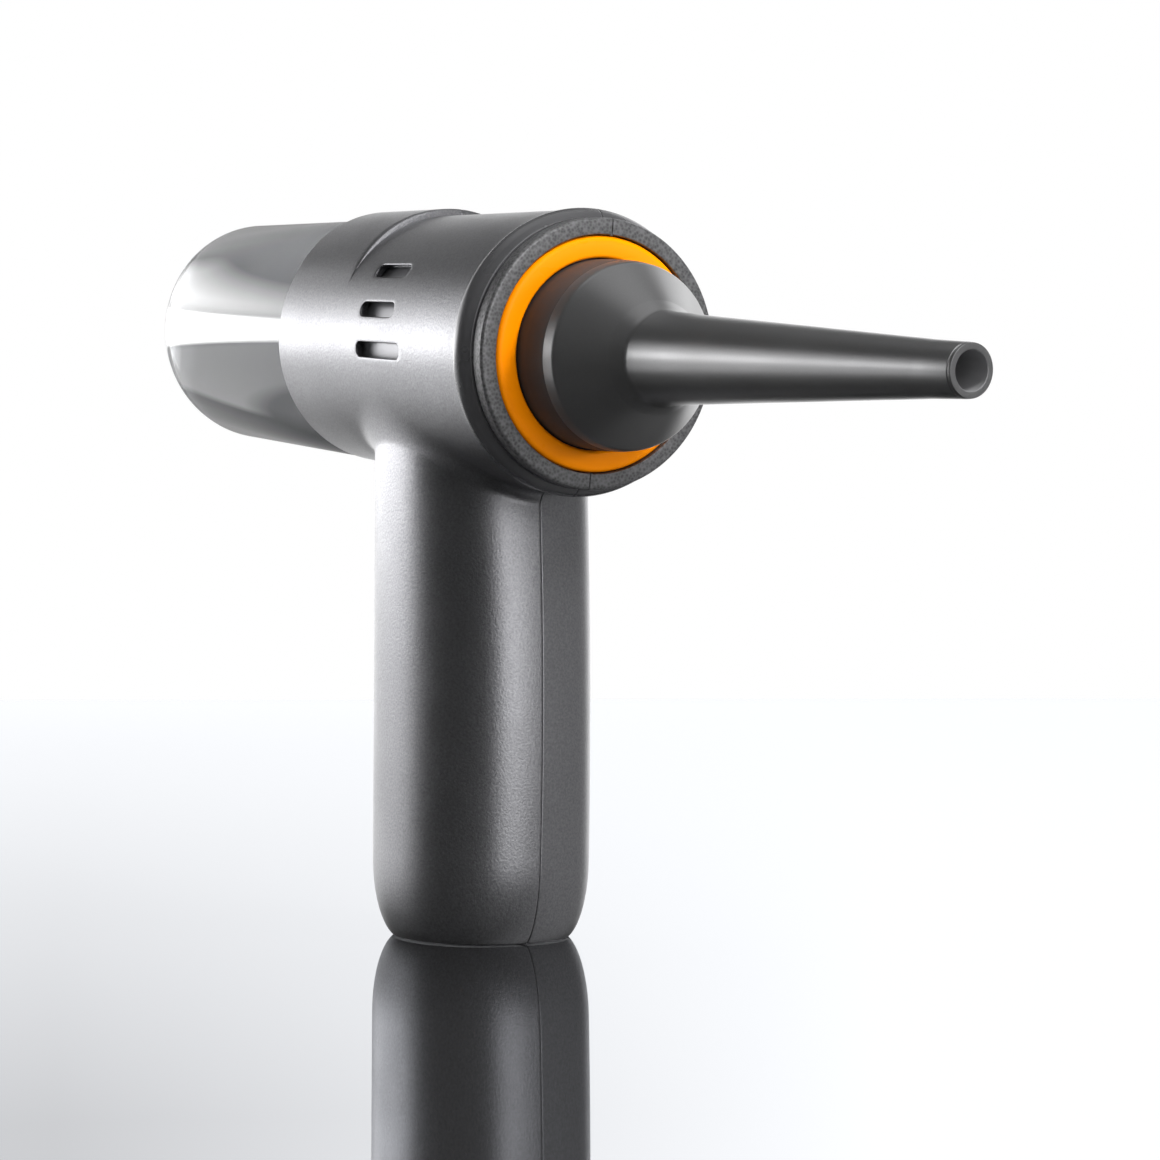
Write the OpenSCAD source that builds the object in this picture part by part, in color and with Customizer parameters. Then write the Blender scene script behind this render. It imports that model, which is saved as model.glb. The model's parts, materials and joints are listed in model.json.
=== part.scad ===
// Cordless air mattress pump: a round barrel on an upright handle.
// Millimetres. The origin is the centre of the foot on the table, +Z is up, +X is the outlet side.
// A station is a distance along the barrel from its outlet face: negative values go to the cup.

/* [Barrel] */
// Outer radius of the barrel
barrel_r = 29.3; // [29:0.1:31]
// Length from the outlet face to the cup
barrel_len = 99.5; // [98:0.5:108]
// Angle that the outlet end is tipped down by, in degrees
barrel_tilt = 9.9; // [6:0.1:13]
// Height of the outlet face's centre over the table
face_z = 121.9; // [120:0.1:128]
// Distance of the outlet face's centre in front of the foot's centre
face_x = 51.2; // [49:0.1:53]
// Wall of the two housing halves
wall = 2.2; // [1.8:0.1:2.4]
// Distance from the outlet face to the step of the raised crown
crown_start = 66.8; // [64:0.1:75]
// Height of the crown over the barrel at the top
crown_rise = 1.6; // [1:0.1:2]
// Angle from the top at which the crown runs out, in degrees
crown_angle = 65; // [55:1:75]

/* [Collar and face] */
// How far the round collar stands over the barrel
collar_rise = 0.6; // [0.4:0.1:1.5]
// Distance from the face to the back of the collar
collar_back = 8.7; // [8:0.1:11]
// How far the edge of the textured face ring sits under the barrel's surface
face_step = 1.7; // [1.3:0.1:2]
// Width of the textured face ring
face_w = 3.4; // [3:0.1:3.8]
// Depth of the face ring in front of its groove
face_depth = 3.4; // [3:0.1:3.8]
// Width of the groove behind the face ring
groove_w = 0.7; // [0.5:0.1:1]
// Depth of the groove behind the face ring
groove_d = 0.9; // [0.6:0.1:1.2]

/* [Vent slots] */
// Width of each slot round the barrel
slot_w = 3.3; // [2.8:0.1:4]
// Distance from the face to the slots' cup end
slot_back = 55.5; // [53:0.5:58]
// Lengths of the slots, from the top one down
slot_lengths = [16, 16.5, 21.5];
// Angles of the slots from the top, in degrees
slot_angles = [60.5, 78.5, 95.8];

/* [Handle] */
// Gap between the battery cells and the handle's side walls
cell_gap = 1.4; // [1:0.1:2.5]
// Gap between the battery cells and the control board
board_gap = 2.03; // [1.5:0.01:2.5]
// Room between the control board and the handle's back wall
trigger_room = 6.4; // [6:0.1:8]
// Width of the foot, side to side
foot_w = 36.2; // [34:0.1:38]
// Depth of the foot, front to back
foot_d = 40.8; // [39:0.1:43]
// Height of the rounding above the foot
foot_round = 17; // [14:0.5:20]
// How far the outlet side of the handle bows out at half height
handle_bow = 1.9; // [0.5:0.1:2]
// How far the handle's middle sits behind the foot's middle
handle_lean = 0.6; // [0:0.1:1]
// Roundness of the handle's section: 2 is an ellipse
handle_power = 2.2; // [2:0.05:2.4]
// Size of the fillet between handle and barrel
fillet = 4; // [3:0.5:6]

/* [Outlet] */
// Width of the orange ring
ring_w = 4.4; // [4:0.1:4.6]
// How far the outlet bore's wall sits inside the ring's lip
outlet_step = 1.6; // [1.4:0.1:2]
// Length of the outlet socket behind the face
socket_len = 24; // [20:0.5:28]
// Wall of the outlet socket
socket_wall = 2.6; // [2:0.1:3]

/* [Nozzle] */
// Gap between the nozzle's round base and the ring's lip
puck_gap = 0.4; // [0.3:0.1:0.8]
// How much the base narrows up to the edge where the cone starts
arris_step = 0.6; // [0.3:0.1:1.2]
// Distance of that edge in front of the face
arris_at = 12.5; // [11:0.5:14]
// Radius of the tube where it leaves the cone
tube_root_r = 9.1; // [8.5:0.1:10]
// Distance of the tube's root in front of the face
tube_root_at = 25; // [23:0.5:28]
// Radius of the tube at its tip
tip_r = 4.42; // [4:0.05:5.5]
// Radius of the hole at the tip
tip_bore_r = 3.3; // [2.6:0.05:3.6]
// Length of the straight hole at the tip
tip_bore_len = 12; // [8:1:20]
// Distance of the tip in front of the face
tip_at = 112.8; // [90:1:130]
// Angle that the tube rises from the barrel's line, in degrees
tube_rise = 0.85; // [0:0.05:1.5]
// Length of the spigot that plugs into the outlet
spigot_len = 14; // [12:0.5:16]
// Radial clearance of the spigot in the outlet bore
spigot_clear = 0.1; // [0.05:0.01:0.2]
// Wall of the nozzle's base
nozzle_wall = 2.2; // [1.8:0.1:2.6]

/* [Cup] */
// How far the clear cup's surface sits under the barrel's
cup_step = 0.3; // [0.1:0.1:0.5]
// Length of the clear cup
cup_len = 82.5; // [80:0.5:95]
// Wall of the clear cup
cup_wall = 2.2; // [1.8:0.1:2.3]
// Rounding of the cup's far edge
cup_round = 3.5; // [2:0.5:4]
// Radius of the inlet bore in the cup's end
inlet_r = 10; // [9:0.1:11]
// Length of the inlet tube
inlet_len = 13; // [12:0.5:14]
// Wall of the inlet tube
inlet_wall = 2; // [1.6:0.1:2.2]
// Thickness of the swinging flap
flap_t = 1.2; // [1:0.1:1.6]

/* [Neck and filter] */
// Length of the neck that the cup slides over
neck_len = 16.5; // [15:0.5:18]
// Clearance of the neck's lugs inside the cup
neck_clear = 0.35; // [0.3:0.05:0.5]
// Height of the lugs on the neck
lug_h = 0.8; // [0.5:0.1:1]
// Wall of the neck
neck_wall = 2.2; // [2:0.1:2.6]
// Length of the filter from its flange to its cap
filter_len = 34; // [24:1:35]
// Gap between the filter's cage and the cup's wall
filter_gap = 4.8; // [4.6:0.1:6]
// Number of pleats in the filter
pleats = 30; // [20:1:36]

/* [Fan and motor] */
// Radius of the motor can
motor_r = 14.5; // [13.5:0.1:15]
// Length of the motor can
motor_len = 27; // [25:1:30]
// Radius of the motor shaft
shaft_r = 1.5; // [1.5:0.05:2]
// Radius of the impeller
impeller_r = 21; // [19:0.5:22]
// Number of impeller blades
blades = 9; // [5:1:11]
// Wall of the motor sleeve
sleeve_wall = 1.5; // [1.2:0.1:2]

/* [Battery and controls] */
// Radius of one battery cell
cell_r = 9.2; // [9:0.05:9.3]
// Length of one battery cell
cell_len = 65; // [60:0.5:66]
// Width of the trigger button
trigger_w = 10.4; // [9:0.1:11]
// Height of the trigger button
trigger_h = 15; // [13:0.5:16]
// Travel of the trigger button
trigger_travel = 2; // [1.5:0.1:2.5]
// Height of the charge port over the table
port_z = 25; // [23:0.5:40]

/* [Hidden] */

$fn = 64;
seat = 0.3;              // gap between seated pieces
slip = 0.2;              // radial gap of a round piece in its seat
half_seam = 0.04;        // each half stops this far from the parting plane
past = 1;                // how far a cut runs past a surface

// Radii round and inside the barrel
collar_r = barrel_r + collar_rise;
face_r = barrel_r - face_step;
ring_r = face_r - face_w - slip;
ring_lip_r = ring_r - ring_w;
outlet_r = ring_lip_r - outlet_step;
puck_r = ring_lip_r - puck_gap;
arris_r = puck_r - arris_step;
bore_r = barrel_r - wall;
insert_r = bore_r - seat;
crown_up = (pow(barrel_r + crown_rise, 2) - pow(barrel_r, 2))
    / (2 * (barrel_r + crown_rise - barrel_r * cos(crown_angle)));
crown_r = barrel_r + crown_rise - crown_up;

// Stations inside the barrel, from the outlet to the cup
lip_back = -face_depth - groove_w - 2.3;
ring_flange = 2;
ring_back = lip_back - seat - ring_flange;
socket_front = -2.3;
socket_out_r = outlet_r + socket_wall;
socket_flange = 2.6;
socket_flange_at = ring_back - seat - socket_flange;
rib = 2;
front_rib_at = socket_flange_at - seat - rib;
rib_r = bore_r - 3.4;
neck_flange = 2;
end_lip = 1.3;
neck_flange_at = -barrel_len + end_lip + seat;
rear_rib_at = neck_flange_at + neck_flange + seat;
rear_rib_r = bore_r - 2.6;
shroud_at = rear_rib_at + rib + seat;
shroud_len = 11.7;
sleeve_at = shroud_at + shroud_len + seat;
sleeve_end = front_rib_at - seat;
sleeve_in_r = insert_r - sleeve_wall;
motor_at = sleeve_at + 3.5;
motor_end = motor_at + motor_len;
bearing_r = 4;
bearing_t = 4;
bearing_run = 0.03;
impeller_at = shroud_at + 2.8;
impeller_len = shroud_len - 2.4;
impeller_back = 1.5;
diffuser_len = 6.5;
mount_t = 1.6;
rear_mount_back = 5;
mount_len = 4;
lead_back = 2.5;
leads_x = face_x + (motor_end - lead_back) * cos(barrel_tilt) - motor_r * sin(barrel_tilt);

// Cup and neck
cup_r = barrel_r - cup_step;
cup_in_r = cup_r - cup_wall;
filter_r = cup_in_r - filter_gap;
cup_open = -barrel_len - seat;
cup_end = cup_open - cup_len;
lug_r = cup_in_r - neck_clear;
neck_r = lug_r - lug_h;
neck_end = -barrel_len - neck_len;
seal_r = 0.95;
seal_at = neck_end + 2.6;
seal_mid_r = cup_in_r - 0.1 - seal_r;
flange_t = 4.7;
flange_r = cup_in_r - 0.6;
filter_front = neck_end - seat - flange_t;
filter_end = filter_front - filter_len + flange_t;
cap_t = 2.5;
duct_r = inlet_r + inlet_wall;
flap_r = duct_r + 0.5;
flap_at = cup_end + inlet_len + seat;
flap_axis_r = flap_r + 1.4;
flap_pin_r = 0.8;
knuckle_r = 1.7;
knuckle_half = 3.7;
ear_t = 1.6;

// Handle, shaped round three cells and a board
cell_pitch = cell_r + 0.1;
cell_ring = cell_pitch * 2 / sqrt(3);
board_t = 1.6;
board_x = -cell_ring / 2 - cell_r - board_gap - board_t;
back_x = board_x - trigger_room - wall;
handle_w = 2 * (cell_pitch + cell_r + cell_gap + wall);
handle_d = -2 * (back_x + handle_lean);
pad_t = 1.5;
pad_proud = 0.3;
pad_in = 5;
section_sides = 40;
floor_z = 3.6;
holder_z = 12.8;
holder_t = 3.4;
pocket_d = 1.6;
pocket_clear = 0.15;
cell_z = holder_z + holder_t - pocket_d + 0.1;
upper_holder_z = cell_z + cell_len - pocket_d + 0.1;
board_w = 22;
switch_x = board_x + 5.2;
switch_z = upper_holder_z + holder_t + seat;
switch_h = 18;
switch_w = 10;
trigger_z = upper_holder_z + holder_t + 9.5;
trigger_face_x = back_x - 2.6;
trigger_flange_x = back_x + wall + 1.9;
trigger_flange_t = 1.5;
trigger_gap = 0.3;
window_cut = 14;
port_w = 9;
port_h = 3.2;
cover_w = 15;
cover_h = 9;
cover_in = 0.15;
cover_t = 1.1;
hinge_r = 0.6;
hinge_half = 3.5;
hinge_x = back_x + 0.2 + hinge_r;
hinge_z = port_z - cover_h / 2 + hinge_r;
lens_r = 1.5;
lens_z = upper_holder_z - 5;
boss_r = 3;
screw_r = 1;
screw_head_r = 2.5;
screw_head_y = 8;
post_end = handle_w / 2 - 4.4;
screw_x = 11;
screw_z = 8;
screw_at = [[-screw_x, screw_z], [screw_x, screw_z], [screw_x + 2, switch_z + 6]];
screw_tip = 9;
screw_neck = 0.5;
lead_r = 0.7;
lead_pitch = 2.2;
lead_y = switch_w / 2 + seat + lead_r + lead_pitch + 0.3;
lead_hole_r = lead_pitch + lead_r + 2;

// ---- Places and helpers ----

// Puts its children on the barrel's line: +X to the outlet, at a station
module on_barrel(station = 0)
    translate([face_x, 0, face_z]) rotate([0, barrel_tilt, 0]) translate([station, 0, 0]) children();

// Solid of revolution on the barrel's line, from [radius, station] points
module turned(points) on_barrel() rotate([0, 90, 0]) rotate_extrude() polygon(points);

// Tube on the barrel's line between two stations
module tube(from, to, outer, inner)
    turned([[inner, from], [outer, from], [outer, to], [inner, to]]);

// Rod on the barrel's line between two stations, set off across it
module rod(from, to, radius, up = 0, side = 0)
    on_barrel(from) translate([0, side, up]) rotate([0, 90, 0]) cylinder(h = to - from, r = radius);

// Height of the barrel's line over the table
function line_z(x) = face_z + (face_x - x) * tan(barrel_tilt);

// Height of the barrel's underside at a place, for a given barrel radius
function under_z(x, y, r) = line_z(x) - sqrt(max(0, r * r - y * y)) / cos(barrel_tilt);

// Share of the foot's inset at a height
function foot_curve(z) = 1 - sqrt(1 - pow(0.97 * max(0, foot_round - z) / foot_round, 2));

// How far the outlet side of the handle bows out at a height
function bow(z) = handle_bow * max(0, sin(180 * min(1, z / 104)));

function signed_power(v, p) = sign(v) * pow(abs(v), p);

// One point of the handle's section: a number round it, a height, an inset from the surface
function section_point(i, z, inset) =
    let (a = 360 * i / section_sides, p = 2 / handle_power,
         f = foot_curve(z) / foot_curve(0),
         w = handle_w - (handle_w - foot_w) * f - 2 * inset,
         d = handle_d - (handle_d - foot_d) * f - 2 * inset + (cos(a) > 0 ? 2 * bow(z) : 0))
    [d / 2 * signed_power(cos(a), p) - handle_lean * (1 - f), w / 2 * signed_power(sin(a), p), z];

function ring_at_height(z, inset) = [for (i = [0:section_sides - 1]) section_point(i, z, inset)];

// One point of the fillet ring: t runs from the handle's wall to the barrel's underside
function fillet_point(i, t) =
    let (low = section_point(i, 90, 0), out = section_point(i, 90, -fillet),
         corner_z = under_z(low.x, low.y, barrel_r), sunk = barrel_r - 0.4,
         start = [low.x, low.y, corner_z - fillet], corner = [low.x, low.y, corner_z],
         end = [out.x, out.y, under_z(out.x, out.y, sunk)])
    (1 - t) * (1 - t) * start + 2 * t * (1 - t) * corner + t * t * end;

function fillet_ring(t) = [for (i = [0:section_sides - 1]) fillet_point(i, t)];

// Solid skinned over rings of equal length, the first and last closed
module skin(rings) {
    n = len(rings[0]);
    last = (len(rings) - 1) * n;
    sides = [for (k = [0:len(rings) - 2], i = [0:n - 1])
        let (a = k * n + i, b = k * n + (i + 1) % n) each [[a, b + n, b], [a, a + n, b + n]]];
    polyhedron([for (r = rings) each r],
        concat([[for (i = [0:n - 1]) i]], sides, [[for (i = [n - 1:-1:0]) last + i]]));
}

// Heights at which the handle is sectioned
handle_levels = [pad_proud, 1, 2.5, 5, 8.5, 12.5, 17, 35, 55, 75];

// Outside of the handle, filleted into the barrel
module handle_outside()
    skin(concat([for (z = handle_levels) ring_at_height(z, 0)],
        [for (t = [0, 0.2, 0.4, 0.6, 0.8, 1]) fillet_ring(t)],
        [ring_at_height(line_z(0) - 8, 3)]));

// Hollow of the handle
module handle_inside()
    skin(concat([ring_at_height(floor_z, wall)],
        [for (z = handle_levels) if (z > floor_z) ring_at_height(z, wall)],
        [ring_at_height(line_z(0) - 12, wall)]));

module half_space(side)
    translate([-200, side > 0 ? half_seam : -half_seam - 100, -50]) cube([400, 100, 300]);

// ---- Housing ----

collar_front = face_depth + groove_w;
collar_bulge = collar_r - face_r + 0.2;
collar_top = collar_back - 2.6;

// Outside of barrel, collar and face as [radius, station] points
barrel_profile = concat(
    [[0, 0], [face_r - 1, 0], [face_r - 0.3, -0.3], [face_r, -1], [face_r, -face_depth],
     [face_r - groove_d, -face_depth], [face_r - groove_d, -collar_front]],
    [for (a = [0:15:90]) [face_r - 0.2 + collar_bulge * sin(a),
        -collar_front - (collar_top - collar_front) * (1 - cos(a))]],
    [[collar_r - 0.1, -collar_back + 0.6], [barrel_r, -collar_back], [barrel_r, -barrel_len],
     [0, -barrel_len]]);

// Hollow of the barrel as [radius, station] points, with the ribs that hold the insides
barrel_hollow = [[0, past], [ring_r + slip, past], [ring_r + slip, lip_back], [bore_r, lip_back],
    [bore_r, front_rib_at + rib], [rib_r, front_rib_at + rib], [rib_r, front_rib_at],
    [bore_r, front_rib_at], [bore_r, rear_rib_at + rib], [rear_rib_r, rear_rib_at + rib],
    [rear_rib_r, rear_rib_at], [bore_r, rear_rib_at], [bore_r, -barrel_len + end_lip],
    [neck_r + slip, -barrel_len + end_lip], [neck_r + slip, -barrel_len - past],
    [0, -barrel_len - past]];

module crown() rod(-barrel_len, -crown_start, crown_r, up = crown_up);

module body_outside() {
    turned(barrel_profile);
    crown();
    handle_outside();
}

// Stadium-shaped cut through the barrel's wall on the left side
module vent_slot(length, angle)
    on_barrel(-slot_back) rotate([angle, 0, 0]) translate([slot_w / 2, 0, barrel_r - wall - past])
        linear_extrude(wall + 2 * past) union() {
            circle(d = slot_w);
            translate([length - slot_w, 0]) circle(d = slot_w);
            translate([0, -slot_w / 2]) square([length - slot_w, slot_w]);
        }

module vents(side) for (i = [0:len(slot_lengths) - 1]) vent_slot(slot_lengths[i], -side * slot_angles[i]);

// Windows at the back of the handle for trigger, lens, port and its cover
module handle_windows() {
    x = back_x - window_cut / 2;
    translate([x, -trigger_w / 2 - trigger_gap, trigger_z - trigger_h / 2 - trigger_gap])
        cube([window_cut, trigger_w + 2 * trigger_gap, trigger_h + 2 * trigger_gap]);
    translate([x, 0, lens_z]) rotate([0, 90, 0]) cylinder(h = window_cut, r = lens_r + slip / 2);
    translate([x, -port_w / 2 - seat, port_z - port_h / 2 - seat])
        cube([window_cut, port_w + 2 * seat, port_h + 2 * seat]);
    back_strip(-5, cover_in + cover_t + seat, cover_w + 2 * seat, port_z - cover_h / 2 - seat,
        port_z + cover_h / 2 + seat);
}

// Curved plate at the back of the handle, between two depths under its surface
module back_strip(outer, inner, w, from, to)
    translate([0, 0, from]) linear_extrude(to - from) difference() {
        intersection() {
            polygon([for (p = ring_at_height(port_z, outer)) [p.x, p.y]]);
            translate([-50, -w / 2]) square([45, w]);
        }
        polygon([for (p = ring_at_height(port_z, inner)) [p.x, p.y]]);
    }

module foot_recess()
    translate([0, 0, -past]) linear_extrude(past + pad_t + 0.1)
        polygon([for (p = ring_at_height(0, pad_in - slip)) [p.x, p.y]]);

module along_y(x, z, from, to, radius)
    translate([x, from, z]) rotate([-90, 0, 0]) cylinder(h = to - from, r = radius);

// Posts for the housing screws, rooted in the handle's wall
module screw_posts(side)
    for (p = screw_at)
        along_y(p[0], p[1], side > 0 ? half_seam : -post_end, side > 0 ? post_end : -half_seam,
            boss_r + (side > 0 ? 1 : 0));

module housing_half(side) intersection() {
    difference() {
        union() {
            difference() {
                body_outside();
                turned(barrel_hollow);
                handle_inside();
            }
            screw_posts(side);
        }
        vents(side);
        handle_windows();
        foot_recess();
        for (p = screw_at) screw_hole(p, side);
    }
    half_space(side);
}

// The left half takes the screw's thread, the right half has a hole and a counterbore
module screw_hole(p, side) {
    if (side < 0) along_y(p[0], p[1], -screw_tip - 3, past, screw_r + 0.05);
    if (side > 0) {
        along_y(p[0], p[1], -past, handle_w, screw_r + 0.3);
        along_y(p[0], p[1], screw_head_y, handle_w, screw_head_r + 0.3);
    }
}

module housing_left() color("dimgray") housing_half(-1);
module housing_right() color("dimgray") housing_half(1);

module housing_screws() color("silver")
    for (p = screw_at) difference() {
        union() {
            along_y(p[0], p[1], -screw_tip, screw_head_y, screw_r);
            along_y(p[0], p[1], screw_head_y + 0.05, screw_head_y + 2, screw_head_r);
            along_y(p[0], p[1], screw_head_y - screw_neck, screw_head_y + 0.1, screw_r);
        }
        for (a = [0, 90]) translate([p[0], screw_head_y + 1.5, p[1]]) rotate([0, a, 0])
            cube([3, 1.4, 0.7], center = true);
    }

module foot_pad() color("#202020")
    linear_extrude(pad_t) polygon([for (p = ring_at_height(0, pad_in)) [p.x, p.y]]);

// ---- Outlet and nozzle ----

ring_round = 1.2;

module outlet_ring() color("orange")
    turned(concat(
        [[ring_lip_r, socket_front + seat], [ring_lip_r, -0.5], [ring_lip_r + 0.5, 0]],
        [for (a = [90:-22.5:0]) [ring_r - ring_round + ring_round * cos(a), ring_round * (sin(a) - 1)]],
        [[ring_r, lip_back - seat], [insert_r, lip_back - seat], [insert_r, ring_back],
         [socket_out_r + slip, ring_back], [socket_out_r + slip, socket_front + seat]]));

module outlet_socket() color("#303030")
    turned([[outlet_r, socket_front], [socket_out_r, socket_front],
        [socket_out_r, socket_flange_at + socket_flange], [insert_r, socket_flange_at + socket_flange],
        [insert_r, socket_flange_at], [socket_out_r, socket_flange_at], [socket_out_r, -socket_len],
        [outlet_r, -socket_len]]);

spigot_r = outlet_r - spigot_clear;
nozzle_seal_r = 0.9;
nozzle_seal_mid_r = outlet_r - 0.06 - nozzle_seal_r;
nozzle_seal_at = -spigot_len + 4;
puck_back = socket_front + seat;

// Puts its children on the tube's line, which leaves the barrel's line at the cone's edge
module on_tube() on_barrel(arris_at) rotate([0, -tube_rise, 0]) rotate([0, 90, 0]) children();

module nozzle_outside() {
    turned([[0, -spigot_len], [spigot_r - 0.6, -spigot_len], [spigot_r, -spigot_len + 0.6],
        [spigot_r, puck_back], [puck_r - 0.3, puck_back], [puck_r, puck_back + 0.3],
        [puck_r, arris_at * 0.35], [puck_r - (puck_r - arris_r) * 0.4, arris_at * 0.75],
        [arris_r, arris_at], [0, arris_at + 0.1]]);
    on_tube() rotate_extrude() polygon([[0, -0.5], [arris_r, 0],
        [tube_root_r + 1.6, tube_root_at - arris_at - 3.4],
        [tube_root_r + 0.5, tube_root_at - arris_at - 1.6],
        [tube_root_r, tube_root_at - arris_at + 1], [tip_r, tip_at - arris_at - 0.3],
        [tip_r - 0.3, tip_at - arris_at], [0, tip_at - arris_at]]);
}

module nozzle_inside() {
    turned([[0, -spigot_len - past], [spigot_r - nozzle_wall - 0.9, -spigot_len - past],
        [spigot_r - nozzle_wall - 0.9, arris_at - 1], [0, arris_at - 1]]);
    on_tube() rotate_extrude() polygon([[0, -1.2], [spigot_r - nozzle_wall - 1, -1.2],
        [tube_root_r - 1.4, tube_root_at - arris_at - 1.5], [tip_bore_r, tip_at - arris_at - tip_bore_len],
        [0, tip_at - arris_at - tip_bore_len]]);
    on_tube() translate([0, 0, tip_at - arris_at - tip_bore_len - past])
        cylinder(h = tip_bore_len + 2 * past, r = tip_bore_r);
}

module nozzle() color("#505050") difference() {
    nozzle_outside();
    nozzle_inside();
    tube(nozzle_seal_at - nozzle_seal_r - 0.1, nozzle_seal_at + nozzle_seal_r + 0.1,
        spigot_r + past, nozzle_seal_mid_r - nozzle_seal_r - 0.05);
}

// Rubber ring round the barrel's line
module seal_ring(station, middle_r, section_r)
    on_barrel(station) rotate([0, 90, 0]) rotate_extrude() translate([middle_r, 0]) circle(r = section_r);

module nozzle_seal() color("#181818") seal_ring(nozzle_seal_at, nozzle_seal_mid_r, nozzle_seal_r);

// ---- Fan and motor ----

intake_r = 13;
hub_r = 6;

module motor_sleeve() color("#8a8c90") difference() {
    tube(sleeve_at, sleeve_end, insert_r, sleeve_in_r);
    translate([leads_x, lead_y, under_z(leads_x, 0, insert_r) - 2 * past])
        cylinder(h = sleeve_wall + lead_y + 2 * past, r = lead_hole_r);
}

module impeller_shroud() color("#3a3a3e")
    turned([[intake_r, shroud_at], [insert_r, shroud_at], [insert_r, shroud_at + shroud_len],
        [insert_r - sleeve_wall, shroud_at + shroud_len], [insert_r - sleeve_wall, shroud_at + 2],
        [intake_r + 1, shroud_at + 2], [intake_r, shroud_at + 2.6]]);

module impeller() color("#d8d8d8") difference() {
    union() {
        rod(impeller_at, impeller_at + impeller_len, hub_r);
        rod(impeller_at + impeller_len - impeller_back, impeller_at + impeller_len, impeller_r);
        for (i = [0:blades - 1]) on_barrel(impeller_at + 1) rotate([i * 360 / blades, 0, 0])
            translate([0, -0.5, hub_r - 1]) rotate([25, 0, 0])
                cube([impeller_len - impeller_back - 0.5, 1, (impeller_r - hub_r) * 0.98]);
    }
    rod(impeller_at - past, impeller_at + impeller_len + past, shaft_r);
}

mount_front_r = motor_r + 0.1;

module diffuser() color("#3a3a3e") {
    from = sleeve_at + 0.9;
    tube(from, from + diffuser_len, mount_front_r + mount_t + 1.7, mount_front_r + mount_t + 0.1);
    tube(from, from + diffuser_len, sleeve_in_r - slip, sleeve_in_r - slip - 1.4);
    for (i = [0:8]) on_barrel(from) rotate([i * 40, 0, 0])
        translate([0, -0.6, mount_front_r + mount_t + 1.4])
            cube([diffuser_len, 1.2, sleeve_in_r - slip - mount_front_r - mount_t - 2.2]);
}

module motor_mount_front() color("#181818")
    tube(motor_at + 0.4, motor_at + 0.4 + mount_len, mount_front_r + mount_t, mount_front_r);

module motor_mount_rear() color("#181818") difference() {
    from = motor_end - rear_mount_back - mount_len;
    tube(from, from + mount_len, sleeve_in_r - 0.1, motor_r + 0.1);
    for (i = [0:5]) on_barrel(from - past) rotate([i * 60 + 30, 0, 0])
        translate([0, 0, (sleeve_in_r + motor_r) / 2]) rotate([0, 90, 0])
            cylinder(h = mount_len + 2 * past, r = (sleeve_in_r - motor_r) * 0.3);
}

can_wall = 1.1;
plate_t = 1.4;
boss_wall = 1.4;

// Can with its closed outlet end and bearing seat
module motor_can() color("#9a9ca0") difference() {
    union() {
        tube(motor_at + plate_t + 0.05, motor_end, motor_r, motor_r - can_wall);
        rod(motor_end - plate_t, motor_end, motor_r - can_wall / 2);
        rod(motor_end - plate_t - bearing_t + 0.6, motor_end, bearing_r + boss_wall);
    }
    rod(motor_end - plate_t - bearing_t, motor_end - 0.8, bearing_r + 0.02);
    rod(motor_end - plate_t - bearing_t, motor_end + past, shaft_r + 0.6);
}

module motor_end_bell() color("#9a9ca0") difference() {
    union() {
        rod(motor_at, motor_at + plate_t, motor_r);
        rod(motor_at, motor_at + plate_t + bearing_t - 0.6, bearing_r + boss_wall);
    }
    rod(motor_at + 0.8, motor_at + plate_t + bearing_t, bearing_r + 0.02);
    rod(motor_at - past, motor_at + plate_t + bearing_t, shaft_r + 0.6);
}

bearing_front_at = motor_at + 0.85;
bearing_rear_at = motor_end - 0.85 - bearing_t;

module bearing(at) color("silver") tube(at, at + bearing_t, bearing_r, shaft_r + bearing_run);
module bearing_front() bearing(bearing_front_at);
module bearing_rear() bearing(bearing_rear_at);

module motor_shaft() color("#c8ccd0") rod(impeller_at - 1.2, motor_end + 1.5, shaft_r);

magnet_r = 8.4;
air_gap = 0.5;
core_len = 15;
core_at = (motor_at + motor_end - core_len) / 2;
tooth_w = 3;
core_ring = 2;

module rotor_magnet() color("#707478") tube(core_at, core_at + core_len, magnet_r, shaft_r);

core_r = motor_r - can_wall - 0.1;
tooth_in_r = magnet_r + air_gap;

module stator_core() color("#5c6066") {
    tube(core_at, core_at + core_len, core_r, core_r - core_ring);
    for (i = [0:5]) on_barrel(core_at) rotate([i * 60, 0, 0]) translate([0, -tooth_w / 2, tooth_in_r])
        cube([core_len, tooth_w, core_r - core_ring - tooth_in_r + 0.4]);
}

// Six coils, one round each tooth
module stator_coils() color("#b87333")
    for (i = [0:5]) on_barrel(core_at - 1.4) rotate([i * 60, 0, 0]) difference() {
        translate([0, -tooth_w / 2 - 1.2, tooth_in_r + 0.3])
            cube([core_len + 2.8, tooth_w + 2.4, core_r - core_ring - tooth_in_r - 0.8]);
        translate([1.3, -tooth_w / 2 - 0.05, 0]) cube([core_len + 0.2, tooth_w + 0.1, motor_r]);
    }

// ---- Neck, filter and cup ----

lug_len = 5;
lug_at = -barrel_len - 4.8 - lug_len;
lug_pitch = 22.5;

module neck_ring() color("#26282a") difference() {
    union() {
        tube(neck_end, rear_rib_at - seat, neck_r, neck_r - neck_wall);
        tube(neck_flange_at, neck_flange_at + neck_flange, insert_r, neck_r - 0.5);
        for (i = [0:15]) on_barrel(lug_at) rotate([i * lug_pitch, 0, 0])
            translate([0, -2, neck_r - 0.4]) cube([lug_len, 4, lug_h + 0.25]);
    }
    tube(seal_at - seal_r - 0.1, seal_at + seal_r + 0.1, neck_r + past, seal_mid_r - seal_r - 0.05);
}

module cup_seal() color("#181818") seal_ring(seal_at, seal_mid_r, seal_r);

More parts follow.
